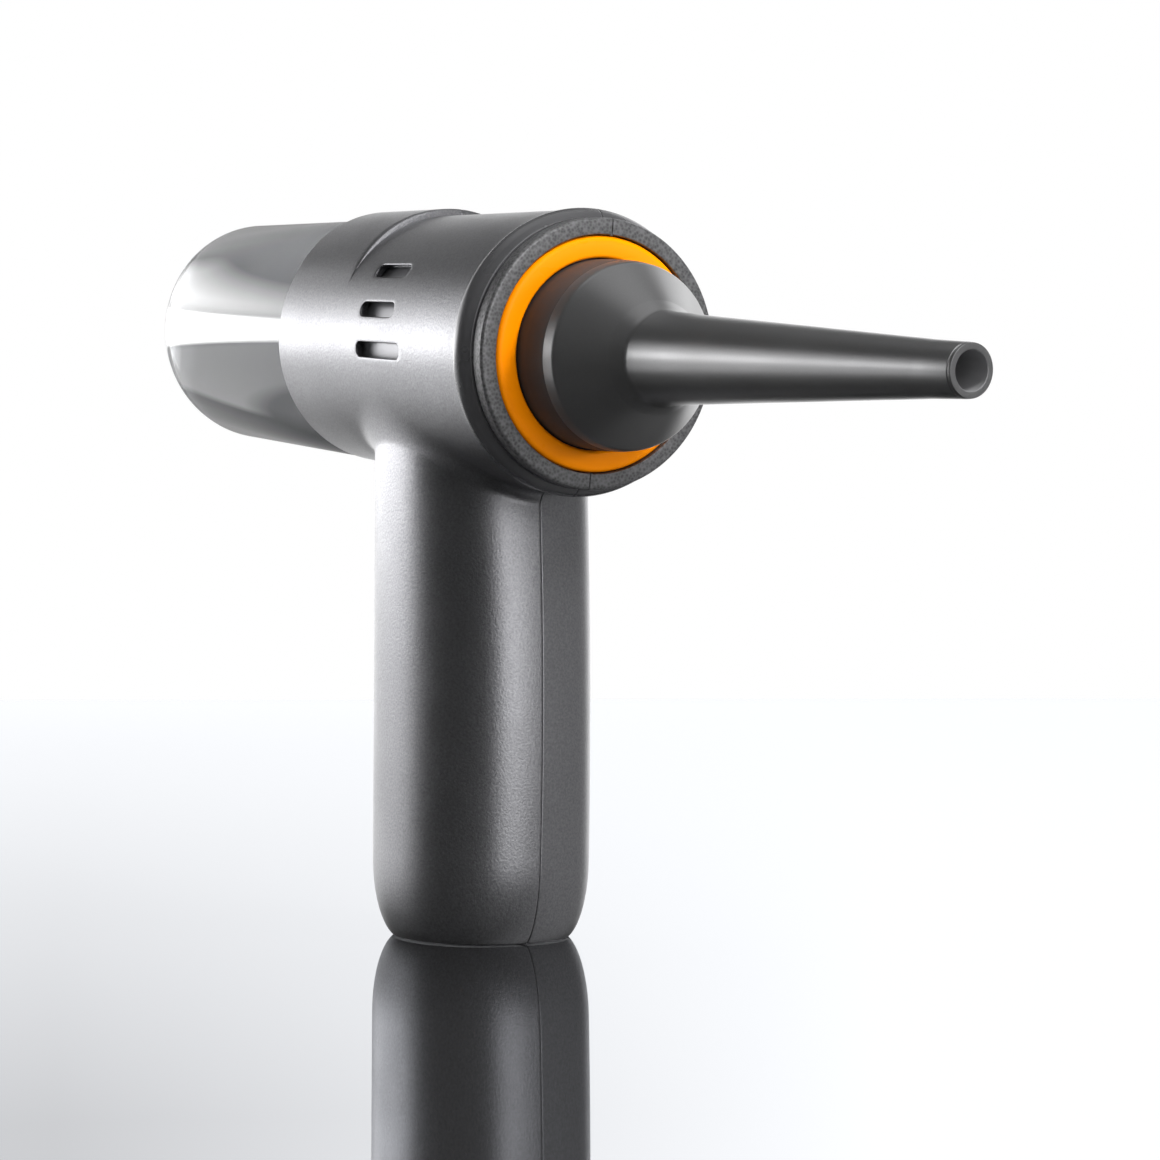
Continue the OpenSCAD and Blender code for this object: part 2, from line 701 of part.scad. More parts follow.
filter_spigot_r = neck_r - neck_wall - slip;
guard_t = 1.6;
guard_rim = 1.9;
guard_hole_r = filter_spigot_r / 10;
guard_pitch = (filter_spigot_r - guard_rim - guard_hole_r) / 3;

// Grille with a middle hole and three rings of 6, 12 and 18 holes
module intake_guard() color("#26282a") difference() {
    rod(neck_flange_at, neck_flange_at + guard_t, filter_spigot_r);
    for (k = [0:3], i = [0:max(1, 6 * k) - 1])
        on_barrel(neck_flange_at - past) rotate([i * 360 / max(1, 6 * k) + 15 * k, 0, 0])
            translate([0, 0, k * guard_pitch]) rotate([0, 90, 0])
                cylinder(h = guard_t + 2 * past, r = guard_hole_r, $fn = 24);
}

cage_wall = 1.6;

module filter_frame() color("#202224") {
    turned([[filter_r - cage_wall, filter_front], [flange_r, filter_front],
        [flange_r, filter_front + 1.2], [flange_r - 1, filter_front + 1.2],
        [flange_r - 1, filter_front + flange_t - 1.2], [flange_r, filter_front + flange_t - 1.2],
        [flange_r, filter_front + flange_t], [filter_spigot_r, filter_front + flange_t],
        [filter_spigot_r, filter_front + flange_t + 8], [filter_r - cage_wall, filter_front + flange_t + 8]]);
    for (i = [0:7]) on_barrel(filter_end) rotate([i * 45, 0, 0])
        translate([0, -1.2, filter_r - cage_wall]) cube([filter_front - filter_end + 0.5, 2.4, cage_wall]);
}

pleat_out_r = filter_r - cage_wall - slip;
pleat_in_r = pleat_out_r - 5;

module filter_pleats() color("#e4e4dc")
    on_barrel(filter_end + seat) rotate([0, 90, 0])
        linear_extrude(filter_front + flange_t + 7 - filter_end) difference() {
            polygon([for (i = [0:2 * pleats - 1]) (i % 2 == 0 ? pleat_out_r : pleat_in_r)
                * [cos(180 * i / pleats), sin(180 * i / pleats)]]);
            circle(r = pleat_in_r - 1);
        }

module filter_cap() color("#202224")
    turned([[0, filter_end - cap_t], [filter_r - 1, filter_end - cap_t],
        [filter_r + 0.4, filter_end - cap_t + 1], [filter_r + 0.4, filter_end], [0, filter_end]]);

// Clear cup, open to the neck, with a hole for the inlet tube in its end
module dust_cup() color([0.7, 0.72, 0.74, 0.4])
    turned(concat([[duct_r + slip, cup_end]],
        [for (a = [0:22.5:90]) [cup_r - cup_round + cup_round * sin(a), cup_end + cup_round * (1 - cos(a))]],
        [[cup_r, cup_open], [cup_in_r, cup_open]],
        [for (a = [90:-30:0]) [cup_in_r - cup_round + cup_round * sin(a),
            cup_end + cup_wall + cup_round * (1 - cos(a))]],
        [[duct_r + slip, cup_end + cup_wall]]));

flap_axis_at = flap_at + flap_t / 2;
duct_flange = 1.2;

// Inlet tube in the cup's end, with the two ears of the flap's hinge
module inlet_duct() color([0.5, 0.52, 0.54, 0.6]) difference() {
    union() {
        turned([[inlet_r, cup_end], [duct_r, cup_end], [duct_r, cup_end + cup_wall],
            [duct_r + duct_flange + 0.4, cup_end + cup_wall],
            [duct_r + duct_flange + 0.4, cup_end + cup_wall + duct_flange],
            [duct_r, cup_end + cup_wall + duct_flange], [duct_r, cup_end + inlet_len],
            [inlet_r, cup_end + inlet_len]]);
        for (side = [-1, 1]) on_barrel(flap_axis_at - 6)
            translate([0, side * (knuckle_half + seat + ear_t / 2) - ear_t / 2, inlet_r + 1])
                cube([6 + knuckle_r, ear_t, flap_axis_r + knuckle_r - inlet_r - 1]);
    }
    on_barrel(flap_axis_at) translate([0, -20, flap_axis_r]) rotate([-90, 0, 0])
        cylinder(h = 40, r = flap_pin_r + 0.01);
}

module flap_pin() color("silver")
    on_barrel(flap_axis_at) translate([0, -knuckle_half - seat - ear_t, flap_axis_r]) rotate([-90, 0, 0])
        cylinder(h = 2 * (knuckle_half + seat + ear_t), r = flap_pin_r);

// Rubber flap over the inner end of the inlet tube
module inlet_flap() color("#303236") difference() {
    union() {
        rod(flap_at, flap_at + flap_t, flap_r);
        on_barrel(flap_axis_at) translate([0, -knuckle_half, flap_axis_r]) rotate([-90, 0, 0])
            cylinder(h = 2 * knuckle_half, r = knuckle_r);
        on_barrel(flap_at) translate([0, -knuckle_half, flap_r - 3]) cube([flap_t, 2 * knuckle_half, 3.5]);
    }
    for (side = [-1, 1]) on_barrel(flap_at - past)
        translate([0, side > 0 ? knuckle_half : -knuckle_half - flap_r, inlet_r])
            cube([flap_t + 2 * past, flap_r, flap_r]);
    on_barrel(flap_axis_at) translate([0, -20, flap_axis_r]) rotate([-90, 0, 0])
        cylinder(h = 40, r = flap_pin_r + 0.05);
}

// ---- Battery, boards and controls ----

// Middle of cell number i
function cell_place(i) = [cell_ring * cos(120 * i), cell_ring * sin(120 * i)];

module battery_cell(i) color("#3c78b4") translate(concat(cell_place(i), cell_z)) {
    cylinder(h = cell_len - 1.2, r = cell_r);
    cylinder(h = cell_len, r = cell_r / 3);
}
module battery_cell_1() battery_cell(0);
module battery_cell_2() battery_cell(1);
module battery_cell_3() battery_cell(2);

// Plate that fills the handle's hollow, with pockets for the cells
module battery_holder(z, pocket_z) difference() {
    translate([0, 0, z]) linear_extrude(holder_t)
        polygon([for (p = ring_at_height(55, wall + seat)) [p.x > 0 ? p.x - bow(55) : p.x, p.y]]);
    for (i = [0:2]) translate(concat(cell_place(i), pocket_z))
        cylinder(h = pocket_d + past, r = cell_r + pocket_clear);
    translate([board_x - slip, -board_w / 2 - slip, pocket_z])
        cube([board_t + 2 * slip, board_w + 2 * slip, pocket_d + past]);
}

module battery_holder_lower() color("#404448") battery_holder(holder_z, holder_z + holder_t - pocket_d);
module battery_holder_upper() color("#404448") battery_holder(upper_holder_z, upper_holder_z - past);

module control_board() color("#1f6b3a")
    translate([board_x, -board_w / 2, cell_z]) cube([board_t, board_w, cell_len]);

// X of a surface at the back of the handle, at a place across it and a depth under its skin
function back_at(y, inset) = -handle_lean - (handle_d / 2 - inset)
    * pow(1 - pow(abs(y) / (handle_w / 2 - inset), handle_power), 1 / handle_power);

module charge_port() color("silver") {
    x = back_at(port_w / 2, cover_in + cover_t) + seat;
    translate([x, -port_w / 2, port_z - port_h / 2]) difference() {
        cube([board_x - x, port_w, port_h]);
        translate([-past, 0.5, 0.5]) cube([6 + past, port_w - 1, port_h - 1]);
    }
}

// Rubber cover with a rod along its lower edge, on which it swings
module port_cover() color("#282828") {
    back_strip(cover_in, cover_in + cover_t, cover_w, hinge_z, port_z + cover_h / 2);
    along_y(hinge_x, hinge_z, -hinge_half, hinge_half, hinge_r);
}

module status_lens() color("#c8d8e8")
    translate([board_x - seat, 0, lens_z]) rotate([0, -90, 0])
        cylinder(h = board_x - seat - back_x - 0.1, r = lens_r);

module switch_board() color("#1f6b3a")
    translate([switch_x, -switch_w / 2, switch_z]) cube([board_t, switch_w, switch_h]);

switch_d = 4;

module power_switch() color("#202020")
    translate([switch_x - switch_d, -3, trigger_z - 5.5]) cube([switch_d, 6, 6]);

stem_end_x = switch_x - switch_d - trigger_travel - seat;

module trigger_button() color("#c0c4c8") {
    x0 = trigger_flange_x + trigger_flange_t;
    intersection() {
        translate([trigger_face_x, -trigger_w / 2, trigger_z - trigger_h / 2])
            cube([x0 - trigger_face_x, trigger_w, trigger_h]);
        translate([trigger_face_x + 40, 0, trigger_z - trigger_h]) cylinder(h = 2 * trigger_h, r = 40);
    }
    translate([trigger_flange_x, -trigger_w / 2 - 1.2, trigger_z - trigger_h / 2 - 1.2])
        cube([trigger_flange_t, trigger_w + 2.4, trigger_h + 2.4]);
    translate([x0 - 0.5, -1.5, trigger_z - 4]) cube([stem_end_x - x0 + 0.5, 3, 3]);
}

spring_r = 2.2;
spring_wire = 0.35;
spring_turns = 4;
spring_z = trigger_z + 4.5;
spring_from = trigger_flange_x + trigger_flange_t + 0.05;
spring_to = switch_x - 0.05;

// Coil spring drawn as a row of rings joined by two straight wires
module trigger_spring() color("silver") {
    pitch = (spring_to - spring_from - 2 * spring_wire) / spring_turns;
    for (i = [0:spring_turns]) translate([spring_from + spring_wire + i * pitch, 0, spring_z])
        rotate([0, 90, 0]) rotate_extrude() translate([spring_r, 0]) circle(r = spring_wire, $fn = 16);
    for (side = [-1, 1]) translate([spring_from + spring_wire, side * spring_r, spring_z])
        rotate([0, 90, 0])
            cylinder(h = spring_to - spring_from - 2 * spring_wire, r = spring_wire * 0.8, $fn = 16);
}

// Three insulated leads from the battery holder to the motor can
module motor_leads() color("#b03030")
    for (i = [-1:1]) {
        z0 = upper_holder_z + holder_t + seat;
        y = lead_y + i * lead_pitch;
        top = under_z(leads_x + lead_r, y - lead_r, motor_r) - seat;
        translate([leads_x, y, z0]) cylinder(h = top - z0, r = lead_r, $fn = 24);
    }

housing_left();
housing_right();
outlet_ring();
outlet_socket();
nozzle();
nozzle_seal();
motor_sleeve();
impeller_shroud();
impeller();
diffuser();
motor_shaft();
rotor_magnet();
bearing_front();
bearing_rear();
motor_can();
motor_end_bell();
stator_core();
stator_coils();
motor_mount_front();
motor_mount_rear();
neck_ring();
intake_guard();
cup_seal();
filter_frame();
filter_pleats();
filter_cap();
dust_cup();
inlet_duct();
inlet_flap();
flap_pin();
battery_cell_1();
battery_cell_2();
battery_cell_3();
battery_holder_lower();
battery_holder_upper();
control_board();
charge_port();
port_cover();
status_lens();
switch_board();
power_switch();
trigger_button();
trigger_spring();
motor_leads();
housing_screws();
foot_pad();
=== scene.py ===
import json
import math

import bmesh
import bpy
import numpy as np
from bpy.props import FloatProperty, FloatVectorProperty, IntProperty, PointerProperty
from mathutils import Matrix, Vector


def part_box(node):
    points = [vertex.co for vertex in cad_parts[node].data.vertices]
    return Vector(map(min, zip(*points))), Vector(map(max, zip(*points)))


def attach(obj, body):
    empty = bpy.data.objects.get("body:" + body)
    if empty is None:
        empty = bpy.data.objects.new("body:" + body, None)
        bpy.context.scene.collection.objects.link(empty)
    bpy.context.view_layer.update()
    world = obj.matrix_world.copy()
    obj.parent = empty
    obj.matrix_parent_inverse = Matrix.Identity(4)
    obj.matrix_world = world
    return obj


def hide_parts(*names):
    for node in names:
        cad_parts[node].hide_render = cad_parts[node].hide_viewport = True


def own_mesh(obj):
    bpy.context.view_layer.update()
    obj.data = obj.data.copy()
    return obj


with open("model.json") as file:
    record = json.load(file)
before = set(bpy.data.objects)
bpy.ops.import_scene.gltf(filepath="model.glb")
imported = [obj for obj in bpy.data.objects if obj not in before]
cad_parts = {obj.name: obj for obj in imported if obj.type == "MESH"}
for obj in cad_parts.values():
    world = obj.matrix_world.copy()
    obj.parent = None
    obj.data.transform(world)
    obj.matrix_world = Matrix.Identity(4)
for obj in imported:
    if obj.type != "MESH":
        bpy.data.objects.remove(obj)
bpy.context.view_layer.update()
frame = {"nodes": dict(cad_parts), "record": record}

bl_info = {
    "name": "Hand-held air pump",
    "version": (1, 0, 0),
    "blender": (4, 5, 0),
    "location": "3D View > Sidebar > Air pump",
    "description": "Builds the looks of a cordless hand-held air pump round its packed frame",
    "category": "Add Mesh",
}

MM = 0.001
WELD = 2e-6            # points nearer than this are one, in metres
TINY = 1e-12           # keeps a length of 0 from being divided by
SMOOTH = 35            # an edge sharper than this stays sharp, in degrees


# ---- Settings ----

class PumpSizes(bpy.types.PropertyGroup):
    """Sizes of the pump's visible pieces"""
    barrel_radius: FloatProperty(
        name="Barrel radius", description="Outer radius of the barrel", default=0.0293, unit="LENGTH")
    barrel_length: FloatProperty(
        name="Barrel length", description="From the outlet face to the cup", default=0.0995, unit="LENGTH")
    barrel_tilt: FloatProperty(
        name="Barrel tilt", description="How far the outlet end points down",
        default=math.radians(9.9), subtype="ANGLE")
    face_height: FloatProperty(
        name="Face height", description="Height of the outlet face's centre", default=0.1219, unit="LENGTH")
    face_forward: FloatProperty(
        name="Face forward", description="Distance of the face's centre in front of the foot",
        default=0.0512, unit="LENGTH")
    crown_start: FloatProperty(
        name="Crown start", description="From the outlet face to the crown's step", default=0.0668,
        unit="LENGTH")
    crown_rise: FloatProperty(
        name="Crown rise", description="Height of the crown's step at the top", default=0.0016, unit="LENGTH")
    handle_width: FloatProperty(
        name="Handle width", description="Side to side", default=0.0442, unit="LENGTH")
    handle_depth: FloatProperty(
        name="Handle depth", description="Front to back", default=0.0524, unit="LENGTH")
    foot_width: FloatProperty(
        name="Foot width", description="Side to side", default=0.0362, unit="LENGTH")
    foot_depth: FloatProperty(
        name="Foot depth", description="Front to back", default=0.0408, unit="LENGTH")
    fillet: FloatProperty(
        name="Fillet", description="Size of the fillet between handle and barrel", default=0.004, unit="LENGTH")
    edge_rounding: FloatProperty(
        name="Edge rounding", description="Rounding of the housing's parting edges", default=0.00022,
        unit="LENGTH")
    lathe_steps: IntProperty(
        name="Turned steps", description="Faces round a turned piece", default=192, min=48, max=512)


class PumpColours(bpy.types.PropertyGroup):
    """Colours of the pump's finishes"""
    body: FloatVectorProperty(
        name="Housing paint", description="Satin gunmetal paint", default=(0.30, 0.30, 0.315),
        subtype="COLOR", min=0, max=1)
    collar: FloatVectorProperty(
        name="Collar", description="Dark smooth band", default=(0.13, 0.13, 0.135),
        subtype="COLOR", min=0, max=1)
    face: FloatVectorProperty(
        name="Face ring", description="Spark-textured ring", default=(0.18, 0.18, 0.184),
        subtype="COLOR", min=0, max=1)
    ring: FloatVectorProperty(
        name="Outlet ring", description="Glossy orange", default=(1.0, 0.275, 0.0),
        subtype="COLOR", min=0, max=1)
    nozzle: FloatVectorProperty(
        name="Nozzle", description="Half-gloss dark grey", default=(0.27, 0.27, 0.274),
        subtype="COLOR", min=0, max=1)
    cup: FloatVectorProperty(
        name="Cup", description="Smoked clear", default=(0.76, 0.77, 0.785),
        subtype="COLOR", min=0, max=1)
    floor: FloatVectorProperty(
        name="Floor", description="Pale floor", default=(0.80, 0.80, 0.83),
        subtype="COLOR", min=0, max=1)
    mirror: FloatVectorProperty(
        name="Floor gloss", description="What the floor reflects at a glancing view",
        default=(0.32, 0.325, 0.335), subtype="COLOR", min=0, max=1)


def sizes():
    return bpy.context.scene.pump_sizes


def colours():
    return bpy.context.scene.pump_colours


# ---- Places ----

def tilt():
    """Cosine and sine of the barrel's tilt."""
    return math.cos(sizes().barrel_tilt), math.sin(sizes().barrel_tilt)


def line_point(station, side, up):
    """Metres in the frame, from millimetres along, across and above the barrel's line."""
    p = sizes()
    c, s = tilt()
    station, side, up = np.broadcast_arrays(station, side, up)
    return np.stack([p.face_forward / MM + station * c + up * s, side,
                     p.face_height / MM - station * s + up * c], axis=-1) * MM


def line_height(x):
    """Height of the barrel's line over the floor at x, in millimetres."""
    p = sizes()
    return p.face_height / MM + (p.face_forward / MM - x) * math.tan(p.barrel_tilt)


def under_height(x, y):
    """Height of the barrel's underside at x, y, in millimetres."""
    r = sizes().barrel_radius / MM
    return line_height(x) - np.sqrt(r * r - y * y) / tilt()[0]


def across(x, z):
    """Place of a turned piece whose line runs from side to side at x and z, in millimetres."""
    def place(station, side, up):
        return np.stack([x + side, station, z + up], -1) * MM
    return place


def length_of(vectors):
    return np.linalg.norm(vectors, axis=-1, keepdims=True)


def unit(vectors):
    return vectors / np.maximum(length_of(vectors), TINY)


# ---- Mesh helpers ----

def new_object(name, vertices, faces, materials=(), kinds=None, smooth=SMOOTH):
    """Mesh object from points in metres. kinds gives each face's number in materials."""
    mesh = bpy.data.meshes.new(name)
    mesh.from_pydata([tuple(v) for v in vertices], [], faces)
    for m in materials:
        mesh.materials.append(m)
    if kinds is not None:
        mesh.polygons.foreach_set("material_index", np.array(kinds, np.int32))
    mesh.update()
    obj = bpy.data.objects.new(name, mesh)
    bpy.context.scene.collection.objects.link(obj)
    clean(mesh)
    soften(mesh, smooth)
    return obj


def clean(mesh):
    """Merges doubled points and turns the faces outwards."""
    bm = bmesh.new()
    bm.from_mesh(mesh)
    bmesh.ops.remove_doubles(bm, verts=bm.verts, dist=WELD)
    bmesh.ops.recalc_face_normals(bm, faces=bm.faces)
    bm.to_mesh(mesh)
    bm.free()


def soften(mesh, angle):
    mesh.shade_smooth()
    mesh.set_sharp_from_angle(angle=math.radians(angle))
    mesh.update()


def settle(obj, smooth=SMOOTH):
    """Turns a piece's modifiers into its plain mesh."""
    graph = bpy.context.evaluated_depsgraph_get()
    mesh = bpy.data.meshes.new_from_object(obj.evaluated_get(graph))
    obj.modifiers.clear()
    old = obj.data
    obj.data = mesh
    bpy.data.meshes.remove(old)
    mesh.name = obj.name
    soften(mesh, smooth)
    return obj


def finish_piece(obj, body, slot, *nodes):
    """Makes a piece ride on its body and hides the nodes that it stands for. Its slot is not used."""
    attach(obj, body)
    if nodes:
        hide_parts(*nodes)


def rounded(points, steps=5):
    """Closed outline with its corners rounded. A point is (x, y) or (x, y, radius)."""
    out = []
    n = len(points)
    for k, p in enumerate(points):
        here = np.array(p[:2], float)
        if len(p) == 2 or p[2] <= 0:
            out.append(here)
            continue
        before = np.array(points[(k - 1) % n][:2], float) - here
        after = np.array(points[(k + 1) % n][:2], float) - here
        u, v = before / np.linalg.norm(before), after / np.linalg.norm(after)
        half = math.acos(float(np.clip(u @ v, -1, 1))) / 2
        reach = p[2] / math.tan(half)
        middle = here + (u + v) / np.linalg.norm(u + v) * p[2] / math.sin(half)
        a, b = here + u * reach - middle, here + v * reach - middle
        turn = math.acos(float(np.clip((a @ b) / (p[2] * p[2]), -1, 1)))
        for t in np.linspace(0, 1, steps + 1):
            w = (math.sin((1 - t) * turn) * a + math.sin(t * turn) * b) / math.sin(turn)
            out.append(middle + w)
    return np.array(out)


def rod_outline(inner, outer, low, high, corner):
    """Outline between two radii and two stations, with its outer corners rounded."""
    return rounded([(inner, low), (outer, low, corner), (outer, high, corner), (inner, high)])


def band(low, high, count):
    """Faces between two closed rows of points, from the number of each row's first point."""
    return [(low + k, low + (k + 1) % count, high + (k + 1) % count, high + k) for k in range(count)]


def turned(name, profile, materials, place=line_point, zones=None, smooth=SMOOTH, steps=None):
    """Turned piece from a closed loop of (radius, station) points in millimetres.

    place(station, side, up) gives metres. zones gives the material's number between two points of the loop.
    """
    profile = np.array(profile, float)
    n, m = len(profile), steps or sizes().lathe_steps
    a = np.arange(m) * 2 * math.pi / m
    r, s = profile[:, :1], profile[:, 1:]
    vertices = place(s + 0 * a, -r * np.sin(a), r * np.cos(a)).reshape(-1, 3)
    faces, kinds = [], []
    for i in range(n):
        j = (i + 1) % n
        if max(r[i, 0], r[j, 0]) > 0:      # none along the line itself
            faces += band(i * m, j * m, m)
            kinds += [zones(profile[i], profile[j]) if zones else 0] * m
    return new_object(name, vertices, faces, materials, kinds, smooth)


# ---- Nodes ----

def add_node(tree, kind, **values):
    """Node of a tree, with values for its inputs. A socket is linked, and of a node the first output is."""
    node = tree.nodes.new(kind)
    for key, value in values.items():
        socket = node.inputs[key.replace("_", " ")]
        if isinstance(value, bpy.types.Node):
            value = value.outputs[0]
        if isinstance(value, bpy.types.NodeSocket):
            tree.links.new(value, socket)
        else:
            socket.default_value = value
    return node


def join_math(tree, kind, a, b=None):
    """Math node from values or sockets; gives its result."""
    node = tree.nodes.new("ShaderNodeMath")
    node.operation = kind
    for socket, value in zip(node.inputs, (a, b)):
        if isinstance(value, (int, float)):
            socket.default_value = value
        elif value is not None:
            tree.links.new(value, socket)
    return node.outputs[0]


# ---- Patterns ----

def new_tree(name, **inputs):
    """Geometry tree with named inputs and one output; gives the tree and the sockets of its inputs."""
    tree = bpy.data.node_groups.new(name, "GeometryNodeTree")
    for key, kind in inputs.items():
        tree.interface.new_socket(key, in_out="INPUT", socket_type="NodeSocket" + kind)
    tree.interface.new_socket("Geometry", in_out="OUTPUT", socket_type="NodeSocketGeometry")
    return tree, tree.nodes.new("NodeGroupInput").outputs


def run_tree(obj, tree, values, smooth):
    """Runs a tree on a piece, with its inputs set by identifier, and keeps the result as a plain mesh."""
    maker = obj.modifiers.new(tree.name, "NODES")
    maker.node_group = tree
    for socket in tree.interface.items_tree:
        if socket.in_out == "INPUT" and socket.name in values:
            maker[socket.identifier] = values[socket.name]
    settle(obj, smooth)


def pattern_tree():
    """Node tree that repeats a mesh in even steps along and round the local X axis, then places it."""
    tree = bpy.data.node_groups.get("Repeat on a line")
    if tree:
        return tree
    tree, given = new_tree(
        "Repeat on a line", Geometry="Geometry", Count="Int", Step="Vector", Turn="Float", Tilt="Float",
        Place="Vector", Weld="Float", Finish="Material")
    line = add_node(tree, "GeometryNodeMeshLine", Count=given["Count"], Offset=given["Step"])
    number = add_node(tree, "GeometryNodeInputIndex").outputs[0]
    around = add_node(tree, "ShaderNodeCombineXYZ", X=join_math(tree, "MULTIPLY", number, given["Turn"]))
    copies = add_node(tree, "GeometryNodeInstanceOnPoints", Points=line, Instance=given["Geometry"],
                      Rotation=around)
    real = add_node(tree, "GeometryNodeRealizeInstances", Geometry=copies)
    weld = add_node(tree, "GeometryNodeMergeByDistance", Geometry=real, Distance=given["Weld"])
    lean = add_node(tree, "ShaderNodeCombineXYZ", Y=given["Tilt"])
    place = add_node(tree, "GeometryNodeTransform", Geometry=weld, Rotation=lean, Translation=given["Place"])
    finish = add_node(tree, "GeometryNodeSetMaterial", Geometry=place, Material=given["Finish"])
    add_node(tree, "NodeGroupOutput", Geometry=finish)
    return tree


def repeat(obj, finish, count, step=(0, 0, 0), turn=0.0, lean=0.0, place=(0, 0, 0), smooth=SMOOTH):
    """Repeats a piece's mesh with the pattern tree. step and place are in metres, turn and lean in radians."""
    run_tree(obj, pattern_tree(), {"Count": count, "Step": step, "Turn": turn, "Tilt": lean, "Place": place,
                                   "Weld": WELD, "Finish": finish}, smooth)
    clean(obj.data)
    soften(obj.data, smooth)
    return obj


def repeat_round(obj, finish, count, smooth=SMOOTH):
    """Repeats a piece of the barrel's local frame evenly round the barrel's line."""
    p = sizes()
    return repeat(obj, finish, count, turn=2 * math.pi / count, lean=p.barrel_tilt,
                  place=(p.face_forward, 0, p.face_height), smooth=smooth)


# ---- Plates and blocks ----

def box_points(width, height, radius, steps=6):
    """Rounded rectangle round the origin, anticlockwise, in millimetres."""
    out = []
    for cx, cy, start in ((1, 1, 0), (-1, 1, 90), (-1, -1, 180), (1, -1, 270)):
        for k in range(steps + 1):
            a = math.radians(start + 90 * k / steps)
            out.append((cx * (width / 2 - radius) + radius * math.cos(a),
                        cy * (height / 2 - radius) + radius * math.sin(a)))
    return np.array(out)


def ring_points(radius, steps):
    a = np.arange(steps) * 2 * math.pi / steps
    return np.stack([radius * np.cos(a), radius * np.sin(a)], -1)


def plate(name, outline, layers, surface, finish):
    """Closed piece from an outline and layers of (inset, depth), front centre to back centre.

    surface(a, b, depth) gives metres for points of the outline's plane, in millimetres.
    """
    outline = np.array(outline, float)
    n = len(outline)
    along = unit(np.roll(outline, -1, 0) - np.roll(outline, 1, 0))
    inward = np.stack([-along[:, 1], along[:, 0]], -1)
    middle = outline.mean(0)
    reach = length_of(outline - middle).min()
    rows, faces = [], []
    for inset, depth in layers:
        if inset < 0.35 * reach:
            ring = outline + inward * inset
        else:                              # deep insets shrink the outline, so that it can't cross itself
            ring = middle + (outline - middle) * max(0.0, 1 - inset / reach)
        rows.append(surface(ring[:, 0], ring[:, 1], np.full(n, float(depth))))
    for i in range(len(rows) - 1):
        faces += band(i * n, (i + 1) * n, n)
    faces.append(tuple(range(n))[::-1])
    faces.append(tuple((len(rows) - 1) * n + k for k in range(n)))
    return new_object(name, np.concatenate(rows), faces, [finish], smooth=40)


def edged(radius, depth, steps=3):
    """Layers of a plate with a rounded front edge: insets and depths in millimetres."""
    front = [(radius * (1 - math.sin(a)), radius * (1 - math.cos(a)))
             for a in np.linspace(0, math.pi / 2, steps + 1)]
    return front + [(0, depth - 0.1), (0.1, depth)]


def local(x, y, z):
    """Metres from millimetres, in the frame or in the barrel's own."""
    return np.array([x, y, z], float) * MM


def block(name, low, high, radius, finish, place=local):
    """Box with bevelled edges between two corners, in millimetres."""
    corners = [place(x, y, z) for x in (low[0], high[0]) for y in (low[1], high[1]) for z in (low[2], high[2])]
    faces = [(0, 1, 3, 2), (4, 6, 7, 5), (0, 4, 5, 1), (2, 3, 7, 6), (0, 2, 6, 4), (1, 5, 7, 3)]
    obj = new_object(name, corners, faces, [finish])
    bevel = obj.modifiers.new("Edges", "BEVEL")
    bevel.width = radius * MM
    bevel.segments = 2
    bevel.limit_method = "NONE"
    return settle(obj)


def joined(name, objects):
    """One object from several, with their materials."""
    mesh = bpy.data.meshes.new(name)
    whole = bmesh.new()
    slots = []
    for obj in objects:
        for m in obj.data.materials:
            if m not in slots:
                slots.append(m)
        before = len(whole.faces)
        whole.from_mesh(obj.data)
        whole.faces.ensure_lookup_table()
        for f in whole.faces[before:]:
            f.material_index = slots.index(obj.data.materials[f.material_index])
    whole.to_mesh(mesh)
    whole.free()
    for m in slots:
        mesh.materials.append(m)
    for obj in objects:
        old = obj.data
        bpy.data.objects.remove(obj)
        bpy.data.meshes.remove(old)
    obj = bpy.data.objects.new(name, mesh)
    bpy.context.scene.collection.objects.link(obj)
    soften(mesh, SMOOTH)
    return obj


# ---- Sheets with windows ----

